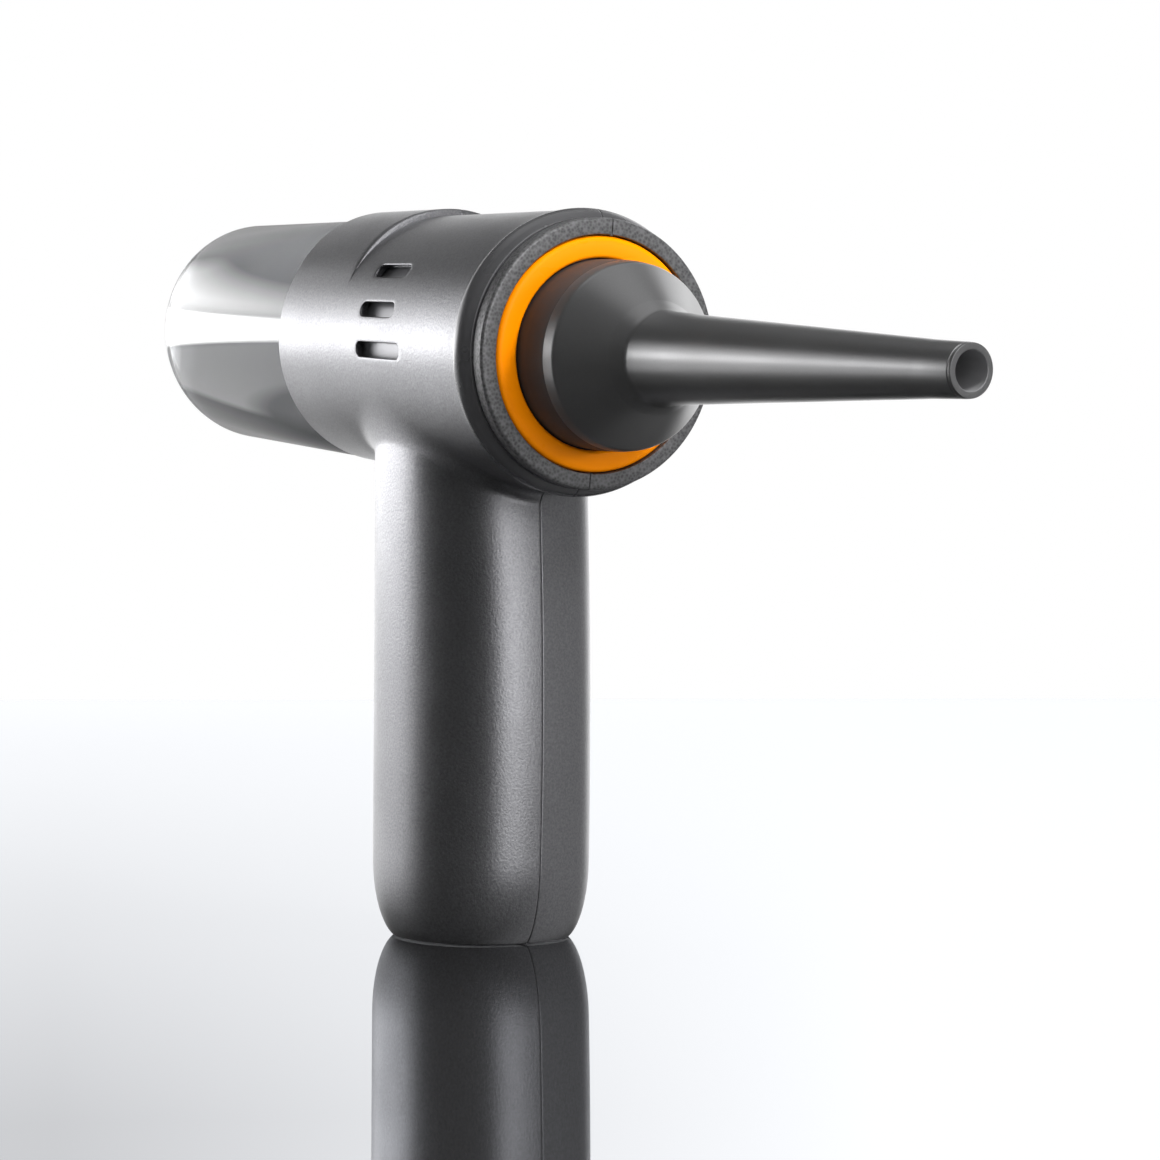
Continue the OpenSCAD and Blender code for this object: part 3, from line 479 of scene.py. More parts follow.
class Sheet:
    """Grid of points on a surface, with windows whose edges are patched to any outline.

    a and b are grids of surface coordinates, in millimetres. The first and the last row follow the
    parting lines.
    """

    def __init__(self, a, b):
        self.a, self.b = a, b
        self.open = np.zeros((a.shape[0] - 1, a.shape[1] - 1), bool)
        self.windows = []

    def window(self, i0, i1, j0, j1, stages, steps=3):
        """Cuts cells i0..i1, j0..j1 away and fills in from their edge to an outline.

        stages are (outline, inset): outline gives the new places of the edge's points. The first
        stage takes some steps, and the later ones take one.
        """
        self.open[i0:i1, j0:j1] = True
        closed = i1 < self.a.shape[0] - 1       # or open at the last parting line
        if closed:
            edge = ([(i, j0) for i in range(i0, i1)] + [(i1, j) for j in range(j0, j1)]
                    + [(i, j1) for i in range(i1, i0, -1)] + [(i0, j) for j in range(j1, j0, -1)])
        else:
            edge = ([(i, j0) for i in range(i1, i0, -1)] + [(i0, j) for j in range(j0, j1)]
                    + [(i, j1) for i in range(i0, i1 + 1)])
        self.windows.append((edge, closed, stages, steps))

    def build(self):
        """Gives each point's surface coordinates and inset, and the faces with the b of each."""
        n, m = self.a.shape
        used = np.zeros((n, m), bool)
        keep = ~self.open
        for di in (0, 1):
            for dj in (0, 1):
                used[di:n - 1 + di, dj:m - 1 + dj] |= keep
        index = -np.ones((n, m), int)
        index[used] = np.arange(used.sum())
        a, b = list(self.a[used]), list(self.b[used])
        inset = [0.0] * len(a)
        faces, at = [], []
        for i, j in zip(*np.nonzero(keep)):
            faces.append((index[i, j], index[i + 1, j], index[i + 1, j + 1], index[i, j + 1]))
            at.append((self.b[i, j] + self.b[i, j + 1]) / 2)
        for edge, closed, stages, steps in self.windows:
            ring = [index[i, j] for i, j in edge]
            start = points = np.array([(self.a[i, j], self.b[i, j]) for i, j in edge])
            depth = 0.0
            for number, (outline, inward) in enumerate(stages):
                target = outline(start)
                for t in (np.linspace(0, 1, steps + 1)[1:] if number == 0 else [1.0]):
                    where = points + (target - points) * t
                    new = range(len(a), len(a) + len(where))
                    a += list(where[:, 0])
                    b += list(where[:, 1])
                    inset += [depth + (inward - depth) * t] * len(where)
                    for k in range(len(ring) - (0 if closed else 1)):
                        q = (k + 1) % len(ring)
                        faces.append((ring[k], ring[q], new[q], new[k]))
                        at.append((b[ring[k]] + b[new[k]]) / 2)
                    ring = new
                points, depth = target, inward
        return np.array(a), np.array(b), np.array(inset), faces, np.array(at)


def surface_normals(surface, a, b, step=0.02):
    da = surface(a + step, b) - surface(a - step, b)
    db = surface(a, b + step) - surface(a, b - step)
    return unit(np.cross(da, db))


def spread(breaks, step):
    """Numbers through the breaks, no further apart than step."""
    out = [breaks[0]]
    for lo, hi in zip(breaks, breaks[1:]):
        count = max(1, int(math.ceil(abs(hi - lo) / step - 1e-9)))
        out += list(np.linspace(lo, hi, count + 1)[1:])
    return np.array(out)


# ---- Housing ----

# In millimetres and degrees. A station is a place on the barrel's line, 0 at the outlet face and negative
# behind it. Angles round the barrel start at the top.
WALL = 1.6
SEAM = 0.04                                      # from the parting plane to the edge of each half
FINE = np.array([0.0, 0.05, 0.12, 0.24, 0.5])    # from that edge to the lines of points beside it
EDGE = 0.25                                      # rounding of an opening's edge
FIT = 0.3                                        # gap round a fitting
MARGIN = 2.2                                     # from an opening to the edge of its window
SLOT_WIDTH, SLOT_BACK, WINDOW_BACK = 3.3, -55.5, -58.2
# A slot's angle and length, then the angles and the front end of the window that it is cut in
SLOTS = [(60.5, 16.0, 53.5, 67.5, -36.8), (78.5, 16.5, 72.0, 85.0, -36.8), (95.8, 21.5, 89.2, 102.4, -31.0)]
HOLE_ANGLE, HOLE_BACK, HOLE_FRONT = 106.0, -79.5, -13.2      # window that the handle's fillet meets
COLLAR_BACK, COLLAR_R, FACE_R, FACE_DEPTH, GROOVE_W, GROOVE_D = 8.7, 29.8, 27.6, 3.4, 0.7, 0.9
MOUTH_R = 24.22                                  # hole of the face, round the orange ring
CROWN_ANGLE, CROWN_END, CROWN_BLEND = 65, 85, 14      # where it meets the barrel, its end, and how sharply
STEP_ROUND = 0.45                                # rounded top edge of the crown's step
FOOT_PROUD, FOOT_ROUND, FOOT_TURN = 0.3, 17.0, 0.97   # gap to the floor, then height and turn of the rounding
FOOT_IN, FOOT_LIP = 4.8, -4.5                    # how far the wall runs in under the foot, and its turned edge
BOW, BOW_TOP = 1.9, 104                          # bulge of the handle's front, and where it ends
LEAN, POWER = 0.6, 2.2                           # shift of the handle's wall, and squareness of its outline
CREASE, CREASE_WIDTH = 0.05, 6                   # flat along the front's parting line
WAIST_Z, TOP_Z = 55.0, 92.0                      # heights that the handle's width is measured at
FILLET_STEPS, FILLET_PULL = 12, 0.62             # rows of faces, and how far the curve keeps to both walls
TRIGGER_Z, TRIGGER_W, TRIGGER_H, TRIGGER_FACE = 91.1, 10.4, 15.0, -29.4
PORT_Z, COVER_W, COVER_H, COVER_DEPTH, PORT_W, PORT_H = 25.0, 15.0, 9.0, 1.5, 9.0, 3.2
LENS_Z, LENS_R, LENS_FIT = 73.2, 1.5, 0.1


def foot_share(z):
    """How much of the foot's inset a height has."""
    t = FOOT_TURN * np.clip((FOOT_ROUND - z) / FOOT_ROUND, 0, 1)
    return (1 - np.sqrt(1 - t ** 2)) / (1 - math.sqrt(1 - FOOT_TURN ** 2))


def section(angle, z, inset=0.0):
    """Point of the handle's outline at an angle from the front, left side, in millimetres."""
    p = sizes()
    f = foot_share(z)
    bow = BOW * np.sin(np.pi * np.clip(z / BOW_TOP, 0, 1))
    w = (p.handle_width - (p.handle_width - p.foot_width) * f) / MM - 2 * inset
    d = (p.handle_depth - (p.handle_depth - p.foot_depth) * f) / MM - 2 * inset
    c, s = np.cos(angle), np.sin(angle)
    d = d + np.where(c > 0, 2 * bow, 0)
    x = d / 2 * np.sign(c) * np.abs(c) ** (2 / POWER) - LEAN * (1 - f)
    y = -w / 2 * np.abs(s) ** (2 / POWER) * np.sign(s)
    crease = CREASE * np.abs(y) * np.exp(-(y / CREASE_WIDTH) ** 2) * (1 - f)
    return np.where(c > 0, x - crease, x), y


class HandleShape:
    """Handle's wall, foot and fillet as one surface of (distance round, height)."""

    TOP = 1000.0                  # b from here on runs through the fillet, 0 to 1
    PAST = 30.0                   # radius of the turn past the parting plane

    def __init__(self):
        angle = np.linspace(0, math.pi, 6001)
        x, y = section(angle, WAIST_Z)
        length = np.concatenate([[0], np.cumsum(np.hypot(np.diff(x), np.diff(y)))])
        self.angles, self.lengths, self.round = angle, length, length[-1]

    def angle(self, a):
        past = np.clip(a, None, 0) + np.clip(a - self.round, 0, None)
        return np.interp(a, self.lengths, self.angles) + past / self.PAST

    def fillet_start(self, angle):
        """Height where the fillet leaves the handle's wall."""
        x, y = section(angle, TOP_Z)
        return under_height(x, y) - sizes().fillet / MM

    def fillet_end(self, angle):
        """Point where the fillet meets the barrel."""
        x, y = section(angle, TOP_Z, -sizes().fillet / MM)
        return np.stack([x, y, under_height(x, y)], -1)

    def fillet(self, angle, t):
        """Point of the fillet, at t from 0 on the handle to 1 on the barrel."""
        start_z = self.fillet_start(angle)
        x0, y0 = section(angle, start_z)
        x1, y1 = section(angle, start_z - 0.5)
        start, end = np.stack([x0, y0, start_z], -1), self.fillet_end(angle)
        rise = unit(np.stack([x0 - x1, y0 - y1, 0.5 + 0 * x0], -1))
        c, s = tilt()
        line = np.array([c, 0, -s])
        off = end - np.array([sizes().face_forward / MM, 0, sizes().face_height / MM])
        normal = unit(off - (off @ line)[..., None] * line)
        corner = np.stack([x0, y0, under_height(x0, y0)], -1)
        back = corner - end
        back = unit(back - (back * normal).sum(-1, keepdims=True) * normal)
        p1 = start + rise * length_of(corner - start) * FILLET_PULL
        p2 = end + back * length_of(corner - end) * FILLET_PULL
        t = t[..., None]
        return (1 - t) ** 3 * start + 3 * (1 - t) ** 2 * t * p1 + 3 * (1 - t) * t * t * p2 + t ** 3 * end

    def __call__(self, a, b):
        angle = self.angle(a)
        z = np.clip(b, FOOT_PROUD, self.TOP)
        x, y = section(angle, z, np.clip(FOOT_PROUD - b, 0, FOOT_IN))      # below the foot, b runs inwards
        wall = np.stack([x, y, z + np.clip(FOOT_LIP - b, 0, None)], -1)
        curve = self.fillet(angle, np.clip(b - self.TOP, 0, 1))
        return np.where((b >= self.TOP)[..., None], curve, wall) * MM


class BarrelShape:
    """Barrel, collar and face as one surface of (distance round, distance along)."""

    def __init__(self):
        p = sizes()
        r, self.end, self.step = p.barrel_radius / MM, p.barrel_length / MM, p.crown_start / MM
        self.radius, self.half = r, math.pi * r
        groove_r, groove_back = FACE_R - GROOVE_D, -FACE_DEPTH - GROOVE_W
        outline = rounded([
            (r - WALL, -self.end, 0), (r, -self.end, 0.25),
            (r, -COLLAR_BACK - 0.1, 0), (COLLAR_R - 0.35, -COLLAR_BACK + 0.2, 0),
            (COLLAR_R, -COLLAR_BACK + 1.2, 3.0), (COLLAR_R - 0.55, -COLLAR_BACK + 3.3, 3.0),
            (FACE_R + 0.2, groove_back, 0.3), (groove_r, groove_back, 0.1),
            (groove_r, -FACE_DEPTH, 0.1), (FACE_R, -FACE_DEPTH, 0.15),
            (FACE_R, 0, 0.8), (MOUTH_R, 0, 0.25), (MOUTH_R, -2.2, 0)])
        path = [outline[0]]
        for q in outline[1:]:
            if math.dist(q, path[-1]) > 1e-4:
                path.append(q)
        self.path = np.array(path)
        self.along = np.concatenate([[0], np.cumsum(np.hypot(*np.diff(self.path, axis=0).T))])
        # The crown is part of a raised circle that meets the barrel's at CROWN_ANGLE
        top = r + p.crown_rise / MM
        self.crown_up = (top ** 2 - r * r) / (2 * (top - r * math.cos(math.radians(CROWN_ANGLE))))
        self.crown_r = top - self.crown_up

    def at(self, station):
        """Distance along the outline of a station on the barrel itself."""
        first = int(np.argmax(self.path[:, 0] > self.radius - 1e-6))
        return self.along[first] + station - self.path[first, 1]

    def __call__(self, a, b):
        r = np.interp(b, self.along, self.path[:, 0])
        s = np.interp(b, self.along, self.path[:, 1])
        angle = a / self.radius
        crown = (self.crown_up * np.cos(angle)
                 + np.sqrt(self.crown_r ** 2 - (self.crown_up * np.sin(angle)) ** 2)) - self.radius
        crown = np.log1p(np.exp(crown * CROWN_BLEND)) / CROWN_BLEND * (np.abs(angle) < math.radians(CROWN_END))
        edge = np.clip((-self.step - s) / STEP_ROUND, 0, 1)
        shape = np.sqrt(np.clip(1 - (1 - edge) ** 2, 0, 1)) * (s <= -self.step + 1e-6)
        r = r + crown * shape * (r > self.radius - 2)
        return line_point(s, -r * np.sin(angle), r * np.cos(angle))


def stadium(middle, back, length, grow):
    """Outline function for a slot: nearest points on its edge."""
    def outline(points):
        along = np.clip(points[:, 1], back + SLOT_WIDTH / 2, back + length - SLOT_WIDTH / 2)
        centre = np.stack([middle + 0 * along, along], -1)
        return centre + unit(points - centre) * (SLOT_WIDTH / 2 + grow)
    return outline


def box_outline(edge_a, middle, width, height, radius, grow=0.0):
    """Outline function for half of a rounded box that is open at the last parting line."""
    def outline(points):
        lo_a = edge_a - width / 2 + radius
        a = np.clip(points[:, 0], lo_a, None)
        b = np.clip(points[:, 1], middle - height / 2 + radius, middle + height / 2 - radius)
        off = unit(points - np.stack([a, b], -1))
        share = np.clip((edge_a - points[:, 0]) / (edge_a - points[:, 0].min()), 0, 1)
        a = np.where(np.abs(off[:, 1]) > 0.999, edge_a - share * (edge_a - lo_a), a)      # even on the straight
        return np.stack([a, b], -1) + off * (radius + grow)
    return outline


def rounding(make, steps=3):
    """Stages that round an opening's edge over: make(grow) gives an outline function."""
    turns = [k * math.pi / 2 / steps for k in range(steps + 1)]
    return [(make(EDGE * (1 - math.sin(t))), EDGE * (1 - math.cos(t))) for t in turns]


def near(line, value):
    return int(np.argmin(np.abs(np.asarray(line) - value)))


def barrel_sheet(shape, handle):
    """Barrel with its slots and the hole that the handle's fillet meets, and the handle's columns."""
    degree = math.pi / 180 * shape.radius
    low, high = SEAM + FINE, shape.half - SEAM - FINE[::-1]
    window_sides = [q for slot in SLOTS for q in slot[2:4]] + [HOLE_ANGLE]
    sides = spread([low[-1]] + [q * degree for q in window_sides] + [high[0]], 1.25)
    rounds = np.concatenate([low, sides[1:], high[1:]])
    stations = np.concatenate([
        spread([-shape.end + 0.4, HOLE_BACK, -shape.step - STEP_ROUND], 2.4),
        -shape.step - np.array([0.3, 0.15, 0.05, 0.0, -0.02]),
        spread([-shape.step + 1.0, WINDOW_BACK] + sorted({slot[4] for slot in SLOTS})
               + [HOLE_FRONT, -COLLAR_BACK - 0.4], 1.7)])
    stations = np.unique(np.round(stations, 4))
    behind = shape.along[shape.along < shape.at(-shape.end + 0.35)]
    before = shape.along[shape.along > shape.at(-COLLAR_BACK - 0.3)]
    path = np.unique(np.round(np.concatenate([behind, shape.at(stations), before]), 5))
    sheet = Sheet(*np.meshgrid(rounds, path, indexing="ij"))
    for angle, length, start, end, front in SLOTS:
        stages = rounding(lambda grow: stadium(
            math.radians(angle) * shape.radius, shape.at(SLOT_BACK), length, grow))
        sheet.window(near(rounds, start * degree), near(rounds, end * degree),
                     near(path, shape.at(WINDOW_BACK)), near(path, shape.at(front)), stages)
    i0 = near(rounds, HOLE_ANGLE * degree)
    j0, j1 = near(path, shape.at(HOLE_BACK)), near(path, shape.at(HOLE_FRONT))
    columns = handle_columns(handle, 2 * (len(rounds) - 1 - i0) + (j1 - j0))
    end = handle.fillet_end(handle.angle(columns))
    c, s = tilt()
    station = (end[:, 0] - sizes().face_forward / MM) * c - (end[:, 2] - sizes().face_height / MM) * s
    angle = math.pi - np.arcsin(np.clip(-end[:, 1] / shape.radius, 0, 1))
    loop = np.stack([angle * shape.radius, shape.at(station)], -1)[::-1]      # back to front
    sheet.window(i0, len(rounds) - 1, j0, j1, [(lambda points: loop, 0.0)], steps=7)
    return sheet, columns


def handle_columns(handle, count):
    """Distances round the handle: fine beside the parting plane, even between."""
    low = SEAM + FINE
    high = handle.round - low[::-1]
    inner = np.linspace(low[-1], high[0], count + 3 - 2 * len(low))
    return np.concatenate([low, inner[1:-1], high])


def handle_sheet(handle, columns):
    """Handle with the openings for its trigger, status lens and charge port."""
    foot = [-5.8, FOOT_LIP, -4.2, -2.5, -1.0, 0.0, FOOT_PROUD, 0.6, 1, 1.5, 2.2, 3, 4, 5.2, 6.5, 8, 10, 12.2,
            14.5, FOOT_ROUND]
    cover_rows = (PORT_Z - COVER_H / 2 - MARGIN, PORT_Z + COVER_H / 2 + MARGIN)
    lens_rows = (LENS_Z - 4, LENS_Z + 4)
    straight = 80.0               # above it, the rows even out towards the fillet's start
    rows = np.concatenate([foot, spread([FOOT_ROUND, *cover_rows, *lens_rows, straight], 2.2)[1:]])
    top = handle.fillet_start(handle.angle(columns))
    shares = np.linspace(0, 1, FILLET_STEPS + 1)
    b = [np.full(len(columns), q) for q in rows]
    b += [straight + (top - straight) * q for q in shares[1:-1]]
    b += [np.full(len(columns), handle.TOP + q) for q in shares]
    b = np.array(b).T
    sheet = Sheet(np.repeat(columns[:, None], b.shape[1], axis=1), b)
    edge = handle.round

    def hole(width, height, z, radius, fit=FIT):
        return lambda grow=0.0: box_outline(edge, z, width + 2 * fit, height + 2 * fit, radius, grow)

    def cut(outline, width, j0, j1, *recess):
        i0 = near(columns, edge - width / 2 - MARGIN)
        stages = rounding(outline) + [(deeper(), COVER_DEPTH) for deeper in recess]
        sheet.window(i0, len(columns) - 1, j0, j1, stages)

    cover = hole(COVER_W, COVER_H, PORT_Z, 1.5)
    cut(cover, COVER_W + 2 * FIT, *[near(rows, q) for q in cover_rows], cover,
        hole(PORT_W, PORT_H, PORT_Z, 1.2))
    cut(hole(2 * LENS_R, 2 * LENS_R, LENS_Z, LENS_R, LENS_FIT), 2 * (LENS_R + LENS_FIT),
        *[near(rows, q) for q in lens_rows])
    cut(hole(TRIGGER_W, TRIGGER_H, TRIGGER_Z, 2.0), TRIGGER_W + 2 * FIT, len(rows) - 1, len(rows) + 10)
    return sheet


def make_housing(side):
    """One half of the housing: side is -1 for the left one, +1 for the right one."""
    handle, barrel = HandleShape(), BarrelShape()
    tube, columns = barrel_sheet(barrel, handle)
    vertices, faces, kinds = [], [], []
    for sheet, shape in ((tube, barrel), (handle_sheet(handle, columns), handle)):
        a, b, inset, found, at = sheet.build()
        points = shape(a, b)
        outward = points - line_point(-50, 0, 0) if shape is barrel else points * (1, 1, 0)
        normal = surface_normals(shape, a, b)
        normal *= np.sign((normal * outward).sum(1, keepdims=True) + TINY)
        edge, gap = sizes().edge_rounding / MM, np.abs(points[:, 1]) / MM - SEAM
        over = np.clip((edge - gap) / edge, 0, 1)
        inset = inset + edge * (1 - np.sqrt(1 - over ** 2))
        points = points - normal * inset[:, None] * MM
        faces += [tuple(len(vertices) + q for q in f) for f in found]
        vertices += list(points * (1, -side, 1))
        if shape is barrel:      # 0 for the barrel, 1 for the collar, 2 for the face
            station = np.interp(at, barrel.along, barrel.path[:, 1])
            kinds += list(np.searchsorted([-COLLAR_BACK + 0.01, -FACE_DEPTH - 0.02], station, side="right"))
        else:
            kinds += [0] * len(found)
    node = "housing_left" if side < 0 else "housing_right"
    finishes = [body_paint(), collar_finish(), face_finish()]
    obj = new_object(node + "_shell", vertices, faces, finishes, kinds, 40)
    if not points_outwards(obj.data):
        obj.data.flip_normals()
    wall = obj.modifiers.new("Wall", "SOLIDIFY")
    wall.thickness = WALL * MM
    wall.offset = -1
    wall.use_even_offset = False
    wall.use_rim = True
    settle(obj, 40)
    finish_piece(obj, "housing", "body_shell", node)


def points_outwards(mesh):
    """Whether an open shell's faces look away from its middle, by area."""
    middle = sum((v.co for v in mesh.vertices), Vector()) / len(mesh.vertices)
    return sum((f.center - middle).dot(f.normal) * f.area for f in mesh.polygons) > 0


# ---- Materials ----

def material(name, colour, roughness, metallic=0.0, **sockets):
    """New material with values on its shader's own sockets; gives it, its tree and its shader."""
    m = bpy.data.materials.new(name)
    m.use_nodes = True
    shader = m.node_tree.nodes["Principled BSDF"]
    shader.inputs["Base Color"].default_value = (*colour, 1)
    shader.inputs["Roughness"].default_value = roughness
    shader.inputs["Metallic"].default_value = metallic
    for key, value in sockets.items():
        shader.inputs[key.replace("_", " ")].default_value = value
    m.diffuse_color = (*colour, 1)
    return m, m.node_tree, shader


def noise(tree, scale, detail, rough):
    """Soft noise in object space; scale is in features a metre."""
    where = add_node(tree, "ShaderNodeTexCoord").outputs["Object"]
    return add_node(tree, "ShaderNodeTexNoise", Scale=scale, Detail=detail, Roughness=rough,
                    Vector=where).outputs["Fac"]


def span(tree, source, lo, hi, low=0.0, high=1.0):
    """Maps a value between lo and hi to one between low and high."""
    return add_node(tree, "ShaderNodeMapRange", From_Min=lo, From_Max=hi, To_Min=low, To_Max=high,
                    Value=source).outputs["Result"]


def mixed_colour(tree, shader, share, first, second):
    """Gives a shader a colour between two, by a share from 0 to 1."""
    mix = tree.nodes.new("ShaderNodeMix")
    mix.data_type = "RGBA"
    mix.inputs["A"].default_value = (*first, 1)
    mix.inputs["B"].default_value = (*second, 1)
    tree.links.new(share, mix.inputs["Factor"])
    tree.links.new(mix.outputs["Result"], shader.inputs["Base Color"])


def tint(tree, shader, share, colour, amount):
    """Varies a colour by a share from 0 to 1, lighter and darker by an amount."""
    mixed_colour(tree, shader, share, [c * (1 - amount) for c in colour],
                 [min(1.0, c * (1 + amount)) for c in colour])


def bump(tree, shader, source, strength, distance):
    """Relief; distance is its height in metres."""
    node = add_node(tree, "ShaderNodeBump", Strength=strength, Distance=distance, Height=source)
    tree.links.new(node.outputs["Normal"], shader.inputs["Normal"])


def vary_gloss(tree, shader, scale, detail, rough, middle, amount):
    """Lets the roughness wander round its middle in broad soft patches."""
    source = noise(tree, scale, detail, rough)
    tree.links.new(span(tree, source, 0.3, 0.7, middle - amount, middle + amount), shader.inputs["Roughness"])


def grained(name, colour, roughness, metallic=0.0, grain=2500.0, depth=0.00002, vary=0.06, patches=0.05,
            **sockets):
    """Moulded or painted finish: fine grain, soft colour and gloss variation.

    grain is in features a metre, depth in metres. vary is the share that the colour varies by, and
    patches is how far the roughness does.
    """
    if name in bpy.data.materials:
        return bpy.data.materials[name]
    m, tree, shader = material(name, colour, roughness, metallic, **sockets)
    fine = noise(tree, grain, 3.0, 0.6)
    tint(tree, shader, fine, colour, vary)
    vary_gloss(tree, shader, 60.0, 3.0, 0.55, roughness, patches)
    bump(tree, shader, fine, 0.35, depth)
    return m


def body_paint():
    return grained("satin gunmetal paint", tuple(colours().body), 0.35, 0.9, grain=2000.0, depth=0.00015,
                   vary=0.45, patches=0.03)


def collar_finish():
    return grained("smooth dark collar", tuple(colours().collar), 0.27, 0.6, grain=5000.0, depth=0.000006,
                   vary=0.04, patches=0.02)


def face_finish():
    """Spark-eroded texture: speckled cells under a fine relief."""
    name, colour = "spark texture", tuple(colours().face)
    if name in bpy.data.materials:
        return bpy.data.materials[name]
    m, tree, shader = material(name, colour, 0.45, 0.75)
    where = add_node(tree, "ShaderNodeTexCoord").outputs["Object"]
    cells = add_node(tree, "ShaderNodeTexVoronoi", Scale=1500.0, Vector=where)
    tint(tree, shader, span(tree, cells.outputs["Distance"], 0.0, 0.8), colour, 0.45)
    bump(tree, shader, noise(tree, 2400.0, 2.0, 0.6), 0.6, 0.0001)
    return m


def orange_finish():
    return grained("glossy orange", tuple(colours().ring), 0.28, grain=900.0, depth=0.000003, vary=0.02,
                   patches=0.02, Specular_IOR_Level=0.12)


def nozzle_finish():
    return grained("dark grey moulding", tuple(colours().nozzle), 0.33, 0.85, grain=3000.0, depth=0.000004,
                   vary=0.08, patches=0.03)


def matte_moulding():
    return grained("matte dark grey moulding", (0.05, 0.05, 0.052), 0.55, grain=3000.0, depth=0.00001,
                   Specular_IOR_Level=0.25)


# The bore's matte grey is painted light: a lighter diffuse grey than the nozzle's gloss, standing in for the
# light inside the tube that the tube's walls shade.
def bore_finish():
    return grained("nozzle bore", (0.20, 0.20, 0.205), 0.6, vary=0.05)


# Black moulding of the neck, its lugs and the dark inner parts. Its colour is partly the moulding's own black
# and partly painted light: it is lifted from near black to make up for the light that the cup's walls keep from
# the neck inside.
def black_plastic():
    return grained("black moulding", (0.06, 0.06, 0.062), 0.42, vary=0.1)


def rubber_finish():
    return grained("black rubber", (0.025, 0.025, 0.027), 0.62, grain=3000.0, depth=0.00003, vary=0.15)


def clear_plastic(name, rough, **sockets):
    if name in bpy.data.materials:
        return bpy.data.materials[name]
    m, tree, shader = material(name, tuple(colours().cup), rough, Transmission_Weight=0.8, IOR=1.49, **sockets)
    vary_gloss(tree, shader, 40.0, 2.0, 0.5, rough, 0.02)
    return m


def cup_finish():
    return clear_plastic("smoked clear plastic", 0.05, Coat_Weight=1.0, Coat_Roughness=0.03)


def cup_inner_finish():
    return clear_plastic("smoked clear plastic, inner side", 0.06, Specular_IOR_Level=0.0)


def slot_finishes():
    """A finish for each of the record's material slots."""
    metal = dict(grain=4000.0, depth=0.000006, patches=0.04)
    return {
        "body_shell": body_paint(), "orange_ring": orange_finish(), "nozzle_grey": nozzle_finish(),
        "dark_plastic": black_plastic(), "rubber": rubber_finish(), "smoked_clear": cup_finish(),
        "sleeve_metal": grained("satin sleeve", (0.40, 0.40, 0.42), 0.35, 0.5, **metal),
        "pale_plastic": grained("pale moulding", (0.72, 0.71, 0.68), 0.4),
        "steel": grained("ground steel", (0.60, 0.61, 0.63), 0.25, 1.0, **metal),
        "magnet": grained("dark magnet", (0.12, 0.12, 0.13), 0.35, 0.9, **metal),
        "motor_metal": grained("plated can", (0.42, 0.42, 0.43), 0.3, 1.0, **metal),
        "lamination": grained("stacked sheet", (0.16, 0.165, 0.175), 0.5, 0.9, **metal),
        "copper": grained("enamelled wire", (0.56, 0.20, 0.06), 0.3, 0.9, **metal),
        # Filter moulding: its grey is partly its own and partly painted light, lightened to make up for the
        # light that the cup's walls keep from the filter.
        "filter_dark": grained("filter moulding", (0.26, 0.26, 0.27), 0.45, vary=0.12),
        "filter_paper": grained("pleated paper", (0.62, 0.60, 0.53), 0.9, grain=1800.0, depth=0.00005),
        "cell_wrap": grained("cell wrap", (0.02, 0.12, 0.36), 0.3),
        "board": grained("solder mask", (0.008, 0.10, 0.03), 0.3),
        "lens": grained("clear lens", (0.75, 0.8, 0.85), 0.1, Transmission_Weight=0.7, IOR=1.49),
        "switch_black": grained("switch moulding", (0.02, 0.02, 0.02), 0.35),
        "trigger_silver": grained("satin silver", (0.42, 0.42, 0.43), 0.3, 0.7, **metal),
        "lead_wire": grained("wire cover", (0.45, 0.02, 0.015), 0.4),
    }


# ---- Operators ----

class PUMP_OT_node_finishes(bpy.types.Operator):
    """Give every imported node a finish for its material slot"""
    bl_idname = "pump.node_finishes"
    bl_label = "Node finishes"

    def execute(self, context):
        finishes = slot_finishes()
        slots = {p["node"]: p["material_slot"] for p in frame["record"]["subparts"]}
        for name, node in frame["nodes"].items():
            node.data.materials.clear()
            node.data.materials.append(finishes[slots[name]])
        return {"FINISHED"}


class PUMP_OT_housing(bpy.types.Operator):
    """Make the two halves of the housing"""
    bl_idname = "pump.housing"
    bl_label = "Housing"

    def execute(self, context):
        make_housing(-1)
        make_housing(1)
        return {"FINISHED"}


class PUMP_OT_outlet_ring(bpy.types.Operator):
    """Make the orange ring round the outlet"""
    bl_idname = "pump.outlet_ring"
    bl_label = "Outlet ring"

    def execute(self, context):
        profile = rounded([(19.5, -6.6), (19.5, 0, 0.7), (24.0, 0, 1.3), (24.0, -6.2), (22.2, -6.6)])
        obj = turned("outlet_ring_turned", profile, [orange_finish()])
        finish_piece(obj, "housing", "orange_ring", "outlet_ring")
        return {"FINISHED"}


